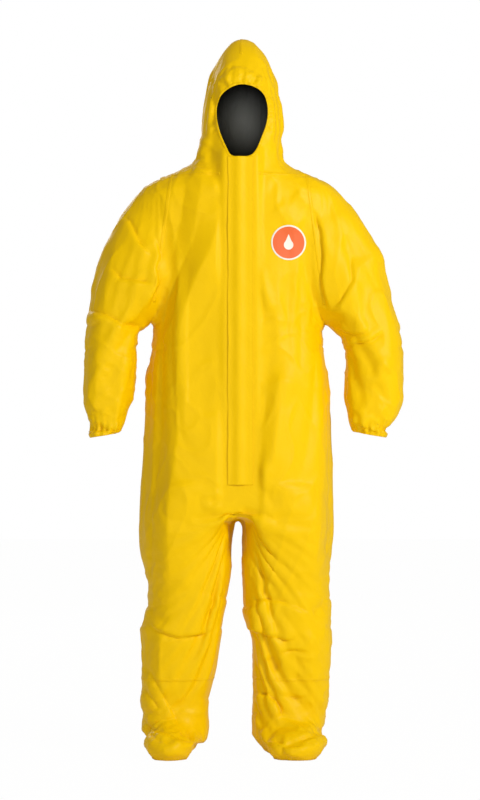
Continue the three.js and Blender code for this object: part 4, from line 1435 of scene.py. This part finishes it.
# Right half of the pull tab's outline and of its slot, as (x, z), from the top down
PULL = [
    (0.0, 1.5035), (0.0022, 1.5032), (0.0038, 1.5015), (0.0041, 1.496), (0.0036, 1.486), (0.0044, 1.475),
    (0.0042, 1.4695), (0.0026, 1.4672), (0.0, 1.4668),
]
PULL_SLOT = [
    (0.0, 1.5022), (0.0016, 1.5018), (0.0022, 1.5005), (0.0022, 1.4960), (0.0014, 1.4946), (0.0, 1.4943),
]


def both_halves(half):
    """A closed outline from its right half, whose ends lie on the middle line."""
    return half + [(-x, z) for x, z in half[-2:0:-1]]


class SUIT_OT_zipper(bpy.types.Operator):
    """Zipper tapes with coiled teeth, their stops, the slider and its pull"""

    bl_idname = "suit.zipper"
    bl_label = "Zipper"

    def execute(self, context):
        colours = context.scene.suit_colours
        weave = weave_material("zipper_tape", tuple(colours.zipper))
        coil = moulded_material("zipper_coil", tuple(colours.zipper), 0.4)
        slide = moulded_material("slider", dimmed(colours.zipper, 0.9), 0.3)
        low, high = 0.706, 1.518
        for name, side in SIDES:
            heights = np.linspace(low, high, 200)
            across = np.array([0.0002, 0.004, 0.009, 0.0148, 0.016])
            back = np.array([-0.0003, -0.0003, -0.0003, -0.0003, -0.0005])
            thick = 0.0006
            outer = [[(side * x, front(z) + b - thick, z) for x, b in zip(across, back)] for z in heights]
            outer = np.array(outer)
            inner = outer + (0, thick, 0)
            cloth = grid_solid(f"zipper_cloth_{name}", outer, inner, weave)
            fix(cloth, "torso", "zipper", f"zipper_tape_{name}")
            verts, faces = [], []
            for z in np.arange(0.7130, 1.5130, 0.0016):
                z += 0.0004 * side
                base = len(verts)
                for x, y, dz in TOOTH:
                    for rise in (0.0, 0.0008):
                        verts.append((side * x, front(z) + y, z + dz + rise))
                ring = [base + 2 * k for k in range(6)]
                faces += [ring[::-1], [v + 1 for v in ring]]
                faces += [(ring[k], ring[(k + 1) % 6], ring[(k + 1) % 6] + 1, ring[k] + 1) for k in range(6)]
            teeth = new_object(f"zipper_teeth_{name}", verts, faces, coil, smooth=False)
            face_outwards(teeth.data)
            fix(keep_rest(teeth), "torso", "zipper", f"zipper_coil_{name}")
        top = block("zipper_stop_top", (-0.0034, -0.0030, 1.5144), (0.0034, -0.0009, 1.5172), coil)
        fix(keep_rest(top), "torso", "zipper", "zipper_top_stop")
        bottom = block("zipper_stop_bottom", (-0.0034, -0.0030, 0.7065), (0.0034, -0.0009, 0.7115), coil)
        fix(keep_rest(bottom), "torso", "zipper", "zipper_bottom_stop")
        plates = [
            block("top_plate", (-0.0054, -0.0038, 1.4965), (0.0054, -0.0029, 1.5095), slide),
            block("wing_a", (-0.0056, -0.0036, 1.4970), (-0.0034, -0.0011, 1.5080), slide),
            block("wing_b", (0.0034, -0.0036, 1.4970), (0.0056, -0.0011, 1.5080), slide),
            block("bail_foot", (-0.0012, -0.0051, 1.4985), (0.0012, -0.0034, 1.4999), slide),
            block("bail_head", (-0.0012, -0.0051, 1.5040), (0.0012, -0.0034, 1.5056), slide),
            block("bail_top", (-0.0012, -0.0057, 1.4985), (0.0012, -0.0050, 1.5056), slide, 0.0002),
        ]
        fix(joined("zipper_slider", *plates), "slider", "slider", "slider_body")
        bm = bmesh.new()
        outer, inner = ([bm.verts.new((x, 0, z)) for x, z in both_halves(half)] for half in (PULL, PULL_SLOT))
        edges = [bm.edges.new((a, b)) for ring in (outer, inner) for a, b in zip(ring, ring[1:] + ring[:1])]
        bmesh.ops.triangle_fill(bm, use_beauty=True, use_dissolve=False, edges=edges)
        hollow = [f for f in bm.faces if all(v in inner for v in f.verts)]
        bmesh.ops.delete(bm, geom=hollow, context="FACES")
        made = bmesh.ops.extrude_face_region(bm, geom=bm.faces[:])["geom"]
        raised = [v for v in made if isinstance(v, bmesh.types.BMVert)]
        bmesh.ops.translate(bm, vec=(0, -0.0008, 0), verts=raised)
        bmesh.ops.recalc_face_normals(bm, faces=bm.faces[:])
        mesh = bpy.data.meshes.new("zipper_pull")
        bm.to_mesh(mesh)
        bm.free()
        mesh.materials.append(slide)
        points = coords(mesh)
        points[:, 1] += front(points[:, 2]) - 0.0040
        set_coords(mesh, points)
        pull = bpy.data.objects.new("zipper_pull", mesh)
        context.collection.objects.link(pull)
        modifier = pull.modifiers.new("Edge", "BEVEL")
        modifier.width, modifier.segments = 0.0002, 2
        apply_modifiers(pull)
        fix(keep_rest(pull), "slider", "slider", "pull_tab")
        return {"FINISHED"}


class SUIT_OT_flap(bpy.types.Operator):
    """The storm flap over the zipper, with the adhesive strip under its free edge"""

    bl_idname = "suit.flap"
    bl_label = "Storm flap"

    def execute(self, context):
        colours = context.scene.suit_colours
        cloth = cloth_material("flap_fabric", tuple(colours.fabric), tuple(colours.shade))
        glue = moulded_material("adhesive", tuple(colours.elastic), 0.25)
        low, high = 0.702, 1.5425
        heights = np.linspace(low, high, 300)
        sewn = [0.036, 0.0352, 0.033, 0.030, 0.026, 0.022, 0.018, 0.014, 0.010, 0.005, 0.0]
        free = [-0.005, -0.009, -0.013, -0.017, -0.021, -0.0245, -0.0268, -0.0278, -0.028]
        across = np.array(sewn + free)
        arch = 0.0009 + 0.0052 * np.exp(-((across / 0.0135) ** 2))
        outer = np.zeros((len(heights), len(across), 3))
        for i, z in enumerate(heights):
            wave = 0.0007 * math.sin(z * 31) + 0.0004 * math.sin(z * 77 + 1)
            dip = 0.0006 * (1 + math.sin(z * 23 + 2)) * np.clip((-across - 0.018) / 0.01, 0, 1)
            end = 0.85 + 0.15 * float(smoothstep(low, low + 0.02, z))
            outer[i, :, 0] = across + wave * np.clip(-across / 0.02, 0, 1)
            outer[i, :, 1] = front(z) - arch * end - 0.0009 - dip + 0.0002 * np.sin(z * 60 + across * 90)
            outer[i, :, 2] = z
        crease = 1 - smoothstep(0.0, 0.004, np.abs(across - 0.0335))
        outer[:, :, 1] += 0.0005 * crease
        inner = outer + (0, 0.0008, 0)
        flap = grid_solid("storm_flap_cloth", outer, inner, cloth)
        dips = flap.data.attributes.new("dip", "FLOAT", "POINT")
        dips.data.foreach_set("value", [0.0] * len(flap.data.vertices))
        fix(flap, "flap", "coated_fabric", "storm_flap")
        columns = np.linspace(-0.027, -0.020, 5)
        heights = np.linspace(low + 0.008, high - 0.03, 120)
        outer = np.array([[(x, front(z) - 0.0008, z) for x in columns] for z in heights])
        strip = grid_solid("adhesive_strip", outer, outer + (0, 0.0003, 0), glue)
        fix(strip, "flap", "adhesive_strip", "flap_adhesive_strip")
        return {"FINISHED"}


class SUIT_OT_patch(bpy.types.Operator):
    """The round chest patch with a drop on it"""

    bl_idname = "suit.patch"
    bl_label = "Chest patch"

    def execute(self, context):
        colours = context.scene.suit_colours
        centre, radius = Vector((0.127, 0, 1.322)), 0.045
        face = self.printed("patch_print", tuple(colours.patch), tuple(colours.rim), centre, radius)
        rings = np.concatenate([[0.0005], np.linspace(0.15, 0.94, 8), [0.985, 1.0]]) * radius
        spokes, tops = 64, []
        for r in rings:
            for k in range(spokes):
                a = k * 2 * math.pi / spokes
                x, z = centre.x + r * math.cos(a), centre.z + r * math.sin(a)
                hit = shared["tree"].ray_cast(Vector((x, -0.3, z)), Vector((0, 1, 0)))[0]
                tops.append((x, hit.y, z))
        outer = np.array(tops).reshape(len(rings), spokes, 3)
        for _ in range(3):
            deep = outer[:, :, 1]
            outer[:, :, 1] = (np.roll(deep, 1, 1) + 2 * deep + np.roll(deep, -1, 1)) / 4
        off = np.full(len(rings), 0.0016)
        off[-1] = 0.0011
        outer[:, :, 1] -= off[:, None]
        inner = outer + (0, 0.0008, 0)
        rows = len(rings)
        verts = np.concatenate([outer.reshape(-1, 3), inner.reshape(-1, 3)])
        under, last = rows * spokes, (rows - 1) * spokes
        faces = [tuple(range(spokes)), tuple(under + k for k in reversed(range(spokes)))]
        for quad in ring_faces(rows, spokes):
            faces += [quad, tuple(under + v for v in reversed(quad))]
        for k in range(spokes):
            j = (k + 1) % spokes
            faces.append((last + k, under + last + k, under + last + j, last + j))
        thing = new_object("patch_disc", verts, faces, face)
        face_outwards(thing.data)
        fix(keep_rest(thing), "torso", "patch", "chest_patch")
        return {"FINISHED"}

    def printed(self, name, tint, rim, centre, radius):
        """Print on the patch: a rim, and a drop, which is a circle with a tapering tip."""
        material, tree, shader = new_material(name, 0.5, Specular_IOR_Level=0.35)
        place = rest_place(tree)
        apart = tree.node("ShaderNodeSeparateXYZ", Vector=place)
        across = (apart - centre.x).math("ABSOLUTE")
        up = Value(tree, apart.socket.node.outputs[2]) - centre.z
        away = (across * across + up * up).math("SQRT")
        edge = away.between(0.9 * radius, 0.915 * radius)
        ball = (across * across + (up + 0.006) * (up + 0.006)).math("SQRT").between(0.0125, 0.0118)
        tip = (across - (0.0215 - up) * 0.43).between(0.0004, -0.0004) * up.between(-0.0006, 0.0004)
        drop = ball.math("MAXIMUM", tip)
        grain = tree.node("ShaderNodeTexNoise", Vector=place, Scale=900.0, Detail=2.0)
        base = tree.mix(edge.math("MAXIMUM", drop), tint, rim)
        link(tree, tree.mix(grain * 0.12, base, (0.6, 0.3, 0.2)), shader.inputs["Base Color"])
        link(tree, 0.42 + 0.1 * grain, shader.inputs["Roughness"])
        roughen(tree, shader, grain, 0.25, 0.0003)
        return material


class SUIT_PT_panel(bpy.types.Panel):
    """Builds the suit step by step"""

    bl_idname = "SUIT_PT_panel"
    bl_label = "Protective suit"
    bl_space_type = "VIEW_3D"
    bl_region_type = "UI"
    bl_category = "Suit"

    def draw(self, context):
        for step in STEPS:
            self.layout.operator(step.bl_idname)
        for group in (context.scene.suit_colours, context.scene.suit_sizes):
            for name in group.__annotations__:
                self.layout.prop(group, name)


STEPS = (SUIT_OT_stage, SUIT_OT_cloth, SUIT_OT_panels, SUIT_OT_inside, SUIT_OT_hems, SUIT_OT_seams,
         SUIT_OT_zipper, SUIT_OT_flap, SUIT_OT_patch)
CLASSES = (SuitColours, SuitSizes, *STEPS, SUIT_PT_panel)


def register():
    for item in CLASSES:
        bpy.utils.register_class(item)
    bpy.types.Scene.suit_colours = bpy.props.PointerProperty(type=SuitColours)
    bpy.types.Scene.suit_sizes = bpy.props.PointerProperty(type=SuitSizes)


def unregister():
    del bpy.types.Scene.suit_colours, bpy.types.Scene.suit_sizes
    for item in reversed(CLASSES):
        bpy.utils.unregister_class(item)


def main():
    register()
    bpy.ops.suit.stage()
    bpy.ops.suit.cloth()
    bpy.ops.suit.panels()
    bpy.ops.suit.inside()
    bpy.ops.suit.hems()
    bpy.ops.suit.seams()
    bpy.ops.suit.zipper()
    bpy.ops.suit.flap()
    bpy.ops.suit.patch()
    bpy.data.objects.remove(shared["skin"], do_unlink=True)


if __name__ == "__main__":
    main()
